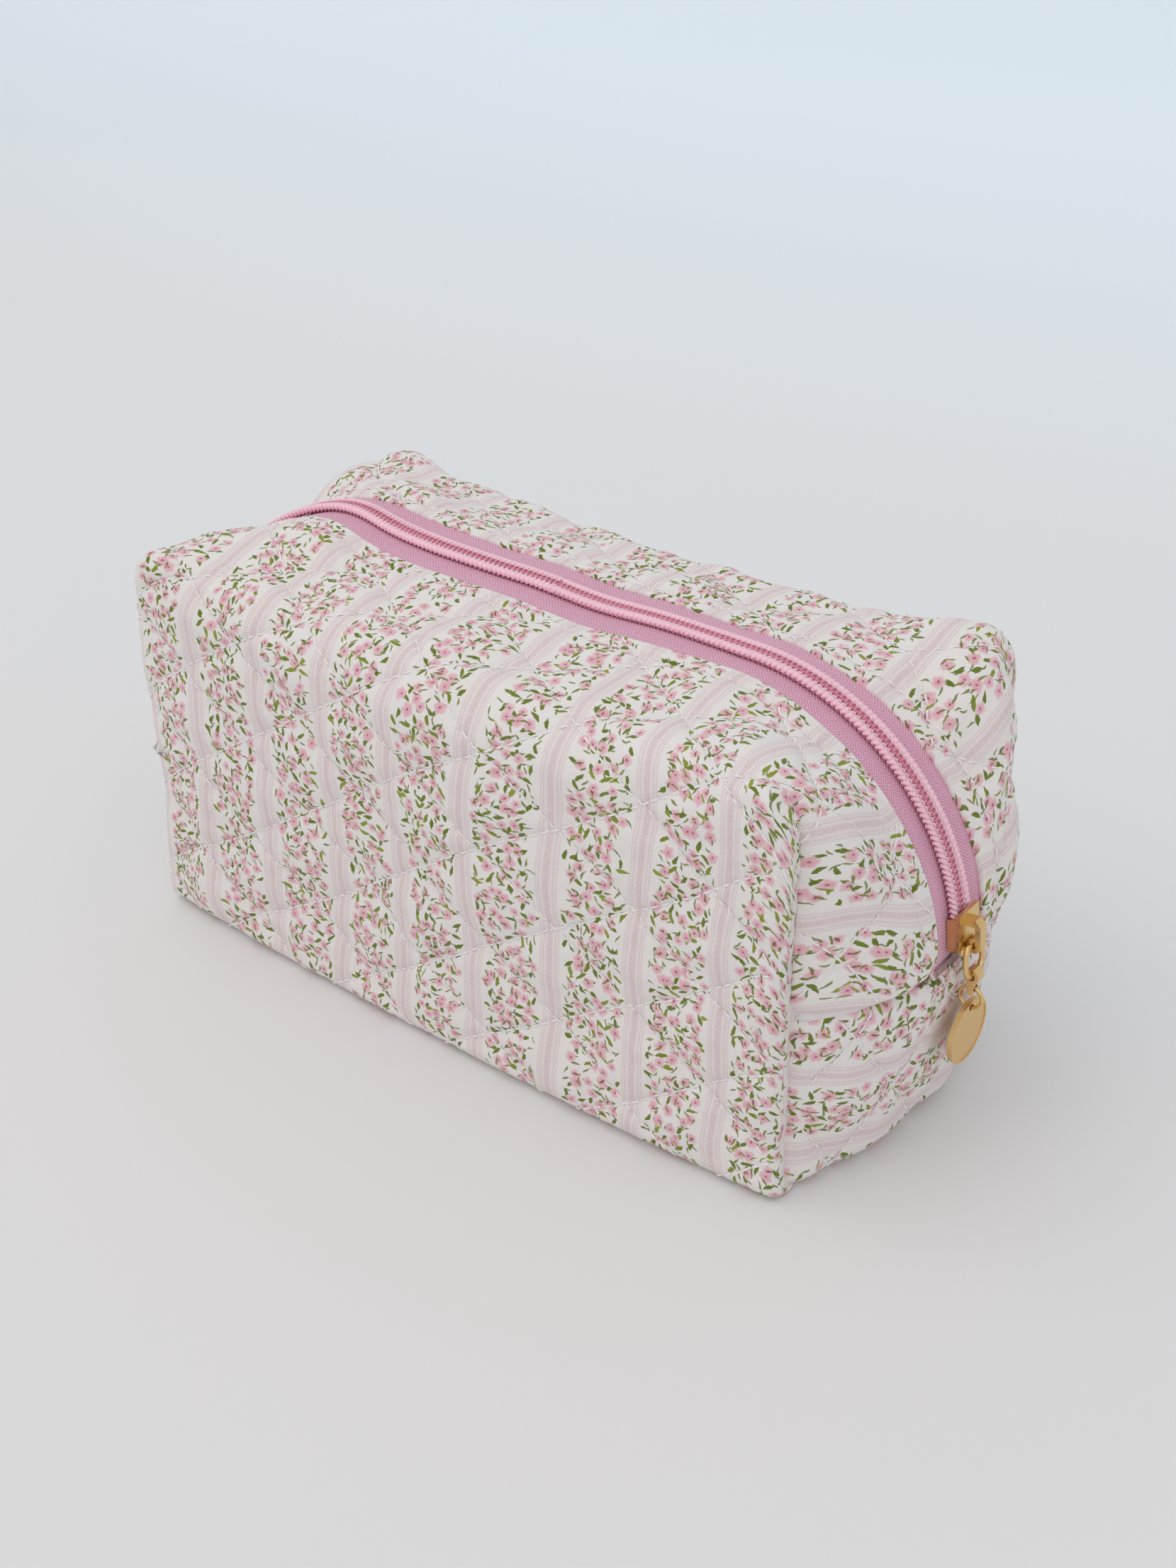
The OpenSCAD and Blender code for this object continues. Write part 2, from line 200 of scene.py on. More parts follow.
def tubes(
    name: str, paths: np.ndarray, radii: np.ndarray, up: np.ndarray, sides: int = 6
) -> bpy.types.Object:
    """Many round-ended tubes in one mesh: a ring across each path point, and a pole at each end.

    Args:
        name: the object's name.
        paths: tubes by points by three, in millimetres.
        radii: the ring sizes along a path, as points by two: across, and along up.
        up: a vector for each tube that isn't along its path.
        sides: vertices in a ring.

    Returns:
        The new object.
    """
    count, steps = paths.shape[:2]
    along = unit(np.gradient(paths, axis=1))
    across = unit(np.cross(up[:, None, :], along))
    top = np.cross(along, across)
    angle = np.linspace(0, 2 * math.pi, sides, endpoint=False)
    turn = radii[None, :, None, 0:1] * np.cos(angle)[None, None, :, None] * across[:, :, None, :]
    rise = radii[None, :, None, 1:2] * np.sin(angle)[None, None, :, None] * top[:, :, None, :]
    rings = paths[:, :, None, :] + turn + rise
    reach = 0.4 * radii[0].min()
    first = paths[:, 0] - along[:, 0] * reach
    last = paths[:, -1] + along[:, -1] * reach
    block = np.concatenate([first[:, None], rings.reshape(count, -1, 3), last[:, None]], axis=1)
    size = steps * sides + 2
    offset = (np.arange(count) * size)[:, None, None]
    quads = (grid_faces(steps, sides, wrap_columns=True)[None] + 1 + offset).reshape(-1, 4)
    ring = np.arange(sides)
    after = (ring + 1) % sides
    start_cap = np.stack([np.zeros(sides, int), 1 + ring, 1 + after], axis=-1)
    far = 1 + (steps - 1) * sides
    end_cap = np.stack([np.full(sides, size - 1), far + after, far + ring], axis=-1)
    caps = (np.concatenate([start_cap, end_cap])[None] + offset).reshape(-1, 3)
    return build_mesh(name, block.reshape(-1, 3), [quads[:, ::-1], caps[:, ::-1]])


def sample(grid: np.ndarray, places: np.ndarray) -> np.ndarray:
    """Values of a grid between its points, mixed linearly from the four round each place.

    Args:
        grid: rows by columns by values.
        places: rows and columns as fractions, two numbers a place.

    Returns:
        The mixed values, one row a place.
    """
    rows, columns = grid.shape[:2]
    r = np.clip(places[:, 0], 0, rows - 1.001)
    c = np.clip(places[:, 1], 0, columns - 1.001)
    i, j = r.astype(int), c.astype(int)
    fr, fc = (r - i)[:, None], (c - j)[:, None]
    near = grid[i, j] * (1 - fc) + grid[i, j + 1] * fc
    far = grid[i + 1, j] * (1 - fc) + grid[i + 1, j + 1] * fc
    return near * (1 - fr) + far * fr


# ---------------------------------------------------------------- materials


class Graph:
    """A material's nodes, with short ways to add them."""

    def __init__(self, name: str) -> None:
        """Starts an empty material with an output and a Principled shader.

        Args:
            name: the material's name.
        """
        self.material = bpy.data.materials.new(name)
        self.material.use_nodes = True
        self.tree = self.material.node_tree
        self.tree.nodes.clear()
        output = self.tree.nodes.new("ShaderNodeOutputMaterial")
        self.shader = self.tree.nodes.new("ShaderNodeBsdfPrincipled")
        self.tree.links.new(self.shader.outputs["BSDF"], output.inputs["Surface"])

    def put(self, socket: bpy.types.NodeSocket, value: object) -> None:
        """Links a socket to a socket, or sets its plain value.

        Args:
            socket: the input socket.
            value: an output socket, or a plain value.
        """
        if isinstance(value, bpy.types.NodeSocket):
            self.tree.links.new(value, socket)
        else:
            socket.default_value = value

    def node(self, kind: str, inputs: Optional[dict] = None, **settings: object) -> bpy.types.Node:
        """Adds a node, sets its properties, then fills its inputs by name or number.

        Args:
            kind: the node's type.
            inputs: values or sockets by input name or number.
            **settings: the node's own properties.

        Returns:
            The new node.
        """
        made = self.tree.nodes.new(kind)
        for key, value in settings.items():
            setattr(made, key, value)
        for key, value in (inputs or {}).items():
            self.put(made.inputs[key], value)
        return made

    def math(self, operation: str, *values: object, clamp: bool = False) -> bpy.types.NodeSocket:
        """One Math node's result."""
        inputs = dict(enumerate(values))
        return self.node("ShaderNodeMath", inputs, operation=operation, use_clamp=clamp).outputs[0]

    def step(self, value: object, low: float, high: float) -> bpy.types.NodeSocket:
        """0 below low, 1 above high and a smooth step between."""
        inputs = {"Value": value, "From Min": low, "From Max": high}
        return self.node("ShaderNodeMapRange", inputs, interpolation_type="SMOOTHSTEP").outputs[0]

    def mix(self, factor: object, first: object, second: object) -> bpy.types.NodeSocket:
        """A colour between two colours.

        Args:
            factor: how far towards the second colour.
            first: the first colour.
            second: the second colour.

        Returns:
            The colour's socket.
        """
        made = self.node("ShaderNodeMix", data_type="RGBA")
        self.put(made.inputs[0], factor)
        self.put(made.inputs[6], first)
        self.put(made.inputs[7], second)
        return made.outputs[2]

    def pattern_place(self) -> bpy.types.NodeSocket:
        """The flat-pattern place in millimetres, from the piece's own UV map.

        Returns:
            The place's socket.
        """
        place = self.node("ShaderNodeUVMap", uv_map="pattern").outputs[0]
        scale = 1 / UV_SCALE
        made = self.node("ShaderNodeVectorMath", {0: place, 1: (scale, scale, scale)}, operation="MULTIPLY")
        return made.outputs[0]

    def object_place(self) -> bpy.types.NodeSocket:
        """The place on the piece in its own frame, in millimetres.

        Returns:
            The place's socket.
        """
        place = self.node("ShaderNodeTexCoord").outputs["Object"]
        made = self.node("ShaderNodeVectorMath", {0: place, 1: (1000, 1000, 1000)}, operation="MULTIPLY")
        return made.outputs[0]

    def noise(self, place: object, size: float, detail: float = 3.0) -> bpy.types.NodeSocket:
        """Noise with features of about that many millimetres."""
        inputs = {"Vector": place, "Scale": 1 / size, "Detail": detail, "Roughness": 0.55}
        return self.node("ShaderNodeTexNoise", inputs).outputs[0]

    def bump(self, height: object, strength: float, distance: float) -> None:
        """Bends the shader's normal by a height, with distance in millimetres."""
        inputs = {"Height": height, "Strength": strength, "Distance": distance * MM}
        self.put(self.shader.inputs["Normal"], self.node("ShaderNodeBump", inputs).outputs[0])

    def set(self, **values: object) -> None:
        """Sets the shader's inputs; an underscore in a name stands for a space."""
        for key, value in values.items():
            self.put(self.shader.inputs[key.replace("_", " ")], value)


@dataclass(frozen=True)
class PrintCloth:
    """White cotton printed with a ditsy flower print in columns between bands of fine stripes.

    A blossom or a leaf is drawn round the point of each cell of a random cell pattern. A blossom's
    edge is a circle with five shallow lobes. A leaf is where its lens-shaped profile is above zero.
    """

    ground: tuple = (0.83, 0.80, 0.77, 1)
    stripe: tuple = (0.745, 0.60, 0.605, 1)
    petal: tuple = (0.79, 0.43, 0.49, 1)
    petal_edge: tuple = (0.81, 0.60, 0.62, 1)
    eye: tuple = (0.33, 0.06, 0.15, 1)
    leaf: tuple = (0.135, 0.185, 0.002, 1)
    leaf_pale: tuple = (0.27, 0.31, 0.02, 1)
    period: float = 21.7
    first_band: float = -6.7
    blossom_cell: float = 3.55
    leaf_cell: float = 2.9
    stem_cell: float = 2.1

    def from_band(self, g: Graph, s: object) -> bpy.types.NodeSocket:
        """Distance in millimetres from the middle of the nearest stripe band.

        Args:
            g: the material's graph.
            s: the distance along the pattern.

        Returns:
            The distance's socket.
        """
        turns = g.math("MULTIPLY_ADD", s, 1 / self.period, 0.5 - self.first_band / self.period)
        part = g.math("SUBTRACT", g.math("FRACT", turns), 0.5)
        return g.math("MULTIPLY", g.math("ABSOLUTE", part), self.period)

    def cell(self, g: Graph, place: object, size: float, shift: float, spread: float) -> tuple:
        """A random cell pattern: the place from the cell's own point, that point's s, and random numbers.

        Args:
            g: the material's nodes.
            place: the flat-pattern place.
            size: the cells' width in millimetres.
            shift: moves the pattern, so that two patterns differ.
            spread: how far the points stray, from 0 to 1.

        Returns:
            x and y from the point, the point's s, and three random numbers, as sockets.
        """
        scale = (1 / size, 1 / size, 1 / size)
        inputs = {0: place, 1: scale, 2: (shift, shift * 1.7, 0)}
        small = g.node("ShaderNodeVectorMath", inputs, operation="MULTIPLY_ADD")
        cells = g.node("ShaderNodeTexVoronoi", {"Scale": 1.0, "Randomness": spread}, voronoi_dimensions="2D")
        g.put(cells.inputs["Vector"], small.outputs[0])
        inputs = {0: small.outputs[0], 1: cells.outputs["Position"]}
        away = g.node("ShaderNodeVectorMath", inputs, operation="SUBTRACT")
        xy = g.node("ShaderNodeSeparateXYZ", {0: away.outputs[0]})
        point = g.node("ShaderNodeSeparateXYZ", {0: cells.outputs["Position"]})
        x = g.math("MULTIPLY", xy.outputs[0], size)
        y = g.math("MULTIPLY", xy.outputs[1], size)
        s = g.math("MULTIPLY", g.math("SUBTRACT", point.outputs[0], shift), size)
        random = g.node("ShaderNodeSeparateColor", {0: cells.outputs["Color"]})
        return x, y, s, random.outputs[0], random.outputs[1], random.outputs[2]

    def lens(
        self, g: Graph, place: object, size: float, shift: float, half: float, width: float, share: float
    ) -> tuple:
        """Leaves, one in each cell, turned at random and slightly curved.

        Args:
            g: the material's nodes.
            place: the flat-pattern place.
            size: the cells' width.
            shift: moves the pattern.
            half: half of the longest leaf's length.
            width: half of a leaf's width.
            share: the share of cells that hold one.

        Returns:
            The leaf mask and a random number for its tone.
        """
        x, y, s, one, two, three = self.cell(g, place, size, shift, 0.85)
        angle = g.math("MULTIPLY", one, 6.283)
        cos, sin = g.math("COSINE", angle), g.math("SINE", angle)
        along = g.math("ADD", g.math("MULTIPLY", x, cos), g.math("MULTIPLY", y, sin))
        across = g.math("SUBTRACT", g.math("MULTIPLY", y, cos), g.math("MULTIPLY", x, sin))
        length = g.math("MULTIPLY_ADD", two, 0.5 * half, 0.55 * half)
        part = g.math("DIVIDE", along, length)
        square = g.math("MULTIPLY", part, part)
        bend = g.math("MULTIPLY", g.math("SUBTRACT", three, 0.5), 0.9)
        curved = g.math("ABSOLUTE", g.math("MULTIPLY_ADD", square, bend, across))
        lean = g.math("MULTIPLY_ADD", part, 0.35, 1.0)
        profile = g.math("MULTIPLY", g.math("SUBTRACT", 1.0, square), g.math("MULTIPLY", lean, width))
        mask = g.step(g.math("SUBTRACT", profile, curved), -0.03, 0.10)
        here = g.math("LESS_THAN", three, share)
        clear = g.math("GREATER_THAN", self.from_band(g, s), 3.65)
        return g.math("MULTIPLY", mask, g.math("MULTIPLY", here, clear)), two

    def stripes(self, g: Graph, place: object) -> bpy.types.NodeSocket:
        """The stripe mask: a thick line in the middle of a band and two thin ones on each side.

        Args:
            g: the material's graph.
            place: the flat-pattern place.

        Returns:
            The mask's socket.
        """
        s = g.node("ShaderNodeSeparateXYZ", {0: place}).outputs[0]
        gap = self.from_band(g, s)
        thick = g.math("SUBTRACT", 1.0, g.step(gap, 0.5, 1.1))
        thin = g.math("SUBTRACT", 1.0, g.step(g.math("ABSOLUTE", g.math("SUBTRACT", gap, 1.6)), 0.12, 0.36))
        hair = g.math("SUBTRACT", 1.0, g.step(g.math("ABSOLUTE", g.math("SUBTRACT", gap, 2.35)), 0.10, 0.32))
        lines = g.math("MAXIMUM", g.math("MULTIPLY", thin, 0.8), g.math("MULTIPLY", hair, 0.65))
        wash = g.math("MULTIPLY", g.math("SUBTRACT", 1.0, g.step(gap, 2.2, 3.0)), 0.28)
        lines = g.math("MAXIMUM", thick, g.math("MAXIMUM", lines, wash))
        worn = g.step(g.noise(place, 0.6, 2.0), 0.25, 0.6)
        return g.math("MULTIPLY", lines, g.math("MULTIPLY_ADD", worn, 0.45, 0.5))

    def material(self) -> bpy.types.Material:
        """Builds the material.

        Returns:
            The finished material.
        """
        g = Graph("print_cloth")
        place = g.pattern_place()
        wander = g.node("ShaderNodeTexNoise", {"Vector": place, "Scale": 0.9, "Detail": 1.0})
        inputs = {0: wander.outputs["Color"], 1: (0.5, 0.5, 0.5)}
        centred = g.node("ShaderNodeVectorMath", inputs, operation="SUBTRACT")
        inputs = {0: centred.outputs[0], 1: (0.7, 0.7, 0), 2: place}
        rough = g.node("ShaderNodeVectorMath", inputs, operation="MULTIPLY_ADD")
        drawn = rough.outputs[0]
        x, y, s, one, two, three = self.cell(g, drawn, self.blossom_cell, 3.1, 0.8)
        radius = g.math("SQRT", g.math("ADD", g.math("MULTIPLY", x, x), g.math("MULTIPLY", y, y)))
        turn = g.math("MULTIPLY_ADD", g.math("ARCTAN2", y, x), 5.0, g.math("MULTIPLY", one, 6.283))
        size = g.math("MULTIPLY_ADD", two, 0.45, 1.2)
        lobes = g.math("MULTIPLY", size, g.math("MULTIPLY_ADD", g.math("COSINE", turn), 0.08, 0.95))
        inside = g.math("SUBTRACT", lobes, radius)
        off_band = g.math("GREATER_THAN", self.from_band(g, s), 4.15)
        here = g.math("MULTIPLY", g.math("LESS_THAN", three, 0.90), off_band)
        blossom = g.math("MULTIPLY", g.step(inside, -0.16, 0.30), here)
        eye = g.math("MULTIPLY", g.math("SUBTRACT", 1.0, g.step(radius, 0.16, 0.36)), here)
        leaf, tone = self.lens(g, drawn, self.leaf_cell, 9.7, 1.9, 0.50, 0.82)
        stem, _ = self.lens(g, drawn, self.stem_cell, 17.3, 1.6, 0.26, 0.62)
        petals = g.mix(g.step(inside, 0.0, 0.9), self.petal_edge, self.petal)
        leaves = g.mix(g.step(tone, 0.55, 1.0), self.leaf, self.leaf_pale)
        colour = g.mix(self.stripes(g, place), self.ground, self.stripe)
        colour = g.mix(g.math("MULTIPLY", leaf, 0.95), colour, leaves)
        colour = g.mix(g.math("MULTIPLY", blossom, 0.93), colour, petals)
        colour = g.mix(g.math("MULTIPLY", stem, 0.85), colour, leaves)
        colour = g.mix(g.math("MULTIPLY", eye, 0.8), colour, self.eye)
        shade = g.math("MULTIPLY_ADD", g.noise(place, 0.55, 2.0), 0.10, 0.95)
        tint = g.node("ShaderNodeCombineColor", {0: shade, 1: shade, 2: shade}).outputs[0]
        toned = g.node("ShaderNodeMix", data_type="RGBA", blend_type="MULTIPLY")
        g.put(toned.inputs[0], 1.0)
        g.put(toned.inputs[6], colour)
        g.put(toned.inputs[7], tint)
        g.set(Base_Color=toned.outputs[2], Roughness=0.85, Sheen_Weight=0.08, Sheen_Roughness=0.5)
        g.put(g.shader.inputs["Specular IOR Level"], 0.15)
        weave = g.node("ShaderNodeTexBrick", {"Vector": place, "Scale": 1.0, "Mortar Size": 0.06}, offset=0.5)
        g.put(weave.inputs["Brick Width"], 0.62)
        g.put(weave.inputs["Row Height"], 0.31)
        height = g.math("ADD", g.math("MULTIPLY", weave.outputs["Fac"], -0.5), g.noise(place, 0.8, 4.0))
        g.bump(height, 0.35, 0.22)
        return g.material


@dataclass(frozen=True)
class PlainCloth:
    """A plain woven cloth: a colour that varies a little, and the bump of its threads."""

    name: str
    colour: tuple
    darker: tuple
    thread: float = 0.5
    rough: float = 0.85
    on_pattern: bool = True

    def material(self) -> bpy.types.Material:
        """Builds the material.

        Returns:
            The finished material.
        """
        g = Graph(self.name)
        place = g.pattern_place() if self.on_pattern else g.object_place()
        tone = g.step(g.noise(place, 6.0), 0.3, 0.7)
        g.set(Base_Color=g.mix(tone, self.darker, self.colour), Roughness=self.rough, Sheen_Weight=0.2)
        weave = g.node("ShaderNodeTexBrick", {"Vector": place, "Scale": 1.0, "Mortar Size": 0.08}, offset=0.5)
        g.put(weave.inputs["Brick Width"], self.thread * 2)
        g.put(weave.inputs["Row Height"], self.thread)
        height = g.math("ADD", g.math("MULTIPLY", weave.outputs["Fac"], -0.6), g.noise(place, 1.1, 4.0))
        g.bump(height, 0.5, 0.25)
        return g.material


@dataclass(frozen=True)
class ZipTape:
    """Herringbone tape: slanting ribs whose slope turns over at each column of the weave, with painted shade
    in the grooves between ribs.
    """

    colour: tuple = (0.88, 0.50, 0.64, 1)
    darker: tuple = (0.62, 0.24, 0.38, 1)
    column: float = 1.9
    rib: float = 0.85

    def material(self) -> bpy.types.Material:
        """Builds the material. Rib height is a sine of s plus or minus the fold of t. The colour turns to the
        darker pink where a rib is low: painted shade in the grooves, with random tone from the noise.

        Returns:
            The finished material.
        """
        g = Graph("zip_tape")
        place = g.pattern_place()
        xy = g.node("ShaderNodeSeparateXYZ", {0: place})
        fold = g.math("PINGPONG", xy.outputs[1], self.column)
        turns = g.math("MULTIPLY", g.math("ADD", xy.outputs[0], fold), 2 * math.pi / self.rib)
        rib = g.math("MULTIPLY_ADD", g.math("SINE", turns), 0.5, 0.5)
        wear = g.noise(place, 0.6, 3.0)
        level = g.math("ADD", g.math("MULTIPLY", rib, 0.75), g.math("MULTIPLY", wear, 0.35))
        # painted shade: the darker pink goes where the rib is low, in the grooves between ribs; the noise
        # adds random tone
        colour = g.mix(g.step(level, 0.05, 0.85), self.darker, self.colour)
        g.set(Base_Color=colour, Roughness=0.62, Sheen_Weight=0.3)
        g.bump(level, 0.7, 0.3)
        return g.material


@dataclass(frozen=True)
class Filament:
    """Smooth or spun thread: a soft sheen, and a tone that varies along it."""

    name: str
    colour: tuple
    darker: tuple
    rough: float = 0.5

    def material(self) -> bpy.types.Material:
        """Builds the material.

        Returns:
            The finished material.
        """
        g = Graph(self.name)
        place = g.object_place()
        tone = g.step(g.noise(place, 0.5), 0.3, 0.7)
        g.set(Base_Color=g.mix(tone, self.darker, self.colour), Roughness=self.rough, Sheen_Weight=0.15)
        g.bump(g.noise(place, 0.25), 0.3, 0.1)
        return g.material


@dataclass(frozen=True)
class Metal:
    """Pale gold plate: cast or brushed, with a fine unevenness in its polish."""

    name: str
    colour: tuple = (0.86, 0.62, 0.30, 1)
    darker: tuple = (0.74, 0.49, 0.20, 1)
    rough: tuple = (0.16, 0.34)
    brushed: bool = False

    def material(self) -> bpy.types.Material:
        """Builds the material. Brushed metal has noise drawn out along Y.

        Returns:
            The finished material.
        """
        g = Graph(self.name)
        place = g.object_place()
        if self.brushed:
            stretch = g.node("ShaderNodeVectorMath", {0: place, 1: (1.0, 0.12, 2.2)}, operation="MULTIPLY")
            place = stretch.outputs[0]
        level = g.noise(place, 0.5 if self.brushed else 1.4, 5.0)
        spread = g.node("ShaderNodeMapRange", {"Value": level, "From Min": 0.3, "From Max": 0.7})
        g.put(spread.inputs["To Min"], self.rough[0])
        g.put(spread.inputs["To Max"], self.rough[1])
        g.set(Base_Color=g.mix(level, self.darker, self.colour), Metallic=1.0, Roughness=spread.outputs[0])
        g.bump(level, 0.18 if self.brushed else 0.08, 0.08)
        return g.material


# ---------------------------------------------------------------- the pouch's shape


@dataclass(frozen=True)
class PouchShape:
    """Where the cloth lies, in millimetres, before its relief: the same rules as the frame's."""

    half_length: float = 95.0
    half_width: float = 46.0
    side_bulge: float = 3.0
    end_bulge: float = 15.0
    foot_bulge: float = 8.5
    arc_x: float = 54.0
    seam_z: float = 46.0
    fold_y: float = 37.0
    fold_z: float = 99.5
    lap_y: float = 10.0
    lap_z: float = 101.5
    edge_y: float = 41.5
    rim: float = 12.0
    sag: float = 2.5
    ear_start: float = 68.0
    foot: float = 5.0
    back_sag: float = 3.2
    front_sag: float = 1.0
    left_shift: float = 4.5
    left_lift: float = 4.5
    pinch_depth: float = 1.8
    lowest: float = 0.15
    # the smooth random waves along X, Y and Z: height, wavelength and seed
    waves: tuple = ((1.1, 62.0, 11), (1.0, 55.0, 12), (0.8, 48.0, 13))

    def ear(self, x: np.ndarray) -> np.ndarray:
        """0 along the straight fold, rising smoothly to 1 at the corner."""
        return smooth((np.abs(x) - self.ear_start) / (self.half_length - self.ear_start))

    def rim_y(self, x: np.ndarray) -> np.ndarray:
        """How far from the middle the top meets the rim of a long wall."""
        return self.fold_y + (self.edge_y - self.fold_y) * self.ear(x)

    def end_depth(self, share: np.ndarray) -> np.ndarray:
        """Reach of an upper end beyond the arc's middle: a parabola across the pouch."""
        return self.half_length + self.end_bulge * (1 - share**2) - self.arc_x

    def top_height(self, share: np.ndarray, x: np.ndarray) -> np.ndarray:
        """Height of the top above the end seam, lowest along the fold, and raised at the ears."""
        fall = (self.lap_z - self.fold_z) * (1 - (1 - share) ** 2)
        return self.lap_z - fall + self.sag * self.ear(x) * share**2 - self.seam_z

    def round_r(self, angle: np.ndarray, power: np.ndarray) -> np.ndarray:
        """Radius of a squared circle: (cos^n + sin^n)^(-1/n)."""
        return (np.cos(angle) ** power + np.sin(angle) ** power) ** (-1 / power)

    def top_point(self, run: np.ndarray, share: np.ndarray, depth: np.ndarray) -> np.ndarray:
        """A place on the top and the upper end, from the middle of the zip to the end seam.

        Args:
            run: 0 in the middle, 1 at the end seam.
            share: 0 at the zip's edge, 1 at the fold or the corner seam.
            depth: how far inside the surface.

        Returns:
            Points in the right back quarter.
        """
        start = self.arc_x / 142.0
        turn = np.clip((run - start) / (1 - start), 0, 1)
        power = 2 + 7 * np.clip(share, 0, 1) ** 2.5
        near = np.arctan(2 * np.minimum(turn, 1 - turn))
        square = np.where(turn < 0.5, near, math.pi / 2 - near)
        weight = 1 - 2 / power
        swing = (1 - weight) * turn * math.pi / 2 + weight * square
        angle = np.clip(math.pi / 2 - swing, 1e-6, math.pi / 2 - 1e-6)
        r = self.round_r(angle, power)
        reach = (self.end_depth(np.clip(share, 0, 1)) - depth) * np.cos(angle) * r
        x = np.where(run < start, run * 142.0, self.arc_x + reach)
        high = self.top_height(np.clip(share, 0, 1), x) - depth
        z = np.where(run < start, self.seam_z + high, self.seam_z + high * np.sin(angle) * r)
        lap = self.lap_y + 1.3 * (1 - smooth((x - 20) / 50))
        y = lap + (self.rim_y(x) - 0.1 - lap) * share
        return np.stack([x, y, z], axis=-1)

    def corner_line(self) -> tuple:
        """The upper corner's outline at the seam: x and z from the top down, as two arrays.

        Returns:
            The x and z of the outline's points.
        """
        run = np.linspace(0, 1, 400)
        line = self.top_point(run, np.ones(400), np.zeros(400))
        return line[:, 0], line[:, 2]

    def wall_point(self, along: np.ndarray, rise: np.ndarray, depth: float, roll: float) -> np.ndarray:
        """A place on a long wall, with its rolled foot, its rim and its rolled side edges.

        Args:
            along: -1 at one corner seam, 1 at the other.
            rise: 0 under the foot, 1 at the fold.
            depth: how far inside the surface.
            roll: radius of the rolled side edges.

        Returns:
            Points on the back wall.
        """
        line_x, line_z = self.corner_line()
        ear_x = line_x[np.argmin(np.abs((line_x - self.arc_x) / 41 - (line_z - self.seam_z) / 56))]
        flat = 1 - roll * math.pi / 2 / self.half_length
        size = np.abs(along)
        along = np.clip(along, -1, 1)
        bent = np.clip((size - flat) / (1 - flat), 0, 1) * math.pi / 2
        straight = self.half_length - roll
        share = (np.minimum(size / flat, 1) * straight + roll * np.sin(bent)) / self.half_length
        share = share - np.maximum(size - 1, 0) * 0.25
        inset = roll * (1 - np.cos(bent)) + depth + np.maximum(size - 1, 0) * self.half_length
        x_top = share * ear_x
        rim_z = np.interp(x_top, line_x[line_x <= ear_x], line_z[line_x <= ear_x])
        ear = self.ear(x_top)
        high = self.rim * (1 - 0.6 * ear)
        low_part, rim_part = 0.07, 0.83
        foot = np.clip(rise / low_part, 0, 1) * math.pi / 2
        stand = np.clip((rise - low_part) / (rim_part - low_part), 0, 1)
        angle = np.clip((rise - rim_part) / (1 - rim_part), 0, 1) * math.pi / 2
        power = 2 + 2 * ear
        r = self.round_r(np.clip(angle, 1e-6, math.pi / 2 - 1e-6), power)
        z_wall = self.foot * (1 - np.cos(foot)) + stand * (rim_z - high - self.foot)
        in_rim = rise > rim_part
        z = np.where(in_rim, rim_z - high + (high - inset) * np.sin(angle) * r, z_wall)
        tall = line_z[::-1]
        edge_x = np.interp(z, tall, line_x[::-1])
        edge_x = np.where(z < self.seam_z, self.half_length, np.maximum(edge_x, ear_x))
        x = share * edge_x
        out = self.half_width + self.side_bulge * np.clip(1 - (x / self.half_length) ** 2, 0, 1)
        y_wall = out - inset - self.foot * (1 - np.sin(foot))
        y_rim = self.rim_y(x_top) + (out - self.rim_y(x_top) - inset) * np.cos(angle) * r
        y = np.where(in_rim, y_rim, y_wall)
        return np.stack([np.sign(along) * x, y, z + depth * (1 - np.sin(foot)) * (rise < low_part)], axis=-1)

    def lower_point(self, across: np.ndarray, rise: np.ndarray, depth: float) -> np.ndarray:
        """A place on the right lower end, which leans out towards the end seam.

        Args:
            across: -1 at the front corner seam, 1 at the back one.
            rise: 0 under the foot, 1 at the end seam.
            depth: how far inside the surface.

        Returns:
            Points on the right lower end.
        """
        low_part = 0.15
        foot = np.clip(rise / low_part, 0, 1) * math.pi / 2
        stand = np.clip((rise - low_part) / (1 - low_part), 0, 1)
        z = self.foot * (1 - np.cos(foot)) + stand * (self.seam_z - self.foot)
        bulge = self.foot_bulge + (self.end_bulge - self.foot_bulge) * np.sin(z / self.seam_z * math.pi / 2)
        x = self.half_length + bulge * (1 - across**2) - depth - self.foot * (1 - np.sin(foot))
        return np.stack([x, across * self.edge_y, z], axis=-1)

    def settle(self, points: np.ndarray) -> np.ndarray:
        """Moves points as the soft pouch settles, the same way for every piece.

        The top sags between the ears, more along the back; the walls and ends breathe by smooth
        random waves; nothing goes below the floor.

        Args:
            points: points anywhere on the pouch.

        Returns:
            The moved points.
        """
        x, y, z = points[..., 0], points[..., 1], points[..., 2]
        upper = smooth((z - 58) / 40)
        middle = np.cos(np.clip(x / 96, -1, 1) * math.pi / 2) ** 2
        back = smooth((y - 8) / 34)
        front = smooth((-y - 8) / 30)
        moved = points.copy()
        moved[..., 2] += -upper * middle * (self.back_sag * back + self.front_sag * front)
        inner = 1 - smooth((np.abs(y) - 14) / 24)
        moved[..., 0] -= self.left_shift * inner * smooth((z - 50) / 40) * smooth((-x - 60) / 40)
        moved[..., 2] += self.left_lift * inner * smooth((z - 60) / 40) * smooth((-x - 28) / 42)
        standing = smooth(z / 12) * (1 - np.exp(-((y / 10) ** 2)) * smooth((x - 35) / 20))
        for axis, (size, wavelength, seed) in enumerate(self.waves):
            moved[..., axis] += standing * size * ripple(points, wavelength, seed)
        pinch = smooth((np.abs(x) - 70) / 25) * smooth((np.abs(y) - 25) / 17)
        bow = np.sin(np.clip(z / 95, 0, 1) * math.pi) ** 2
        moved[..., 0] -= np.sign(x) * pinch * self.pinch_depth * bow
        moved[..., 2] = np.maximum(moved[..., 2], self.lowest)
        return moved


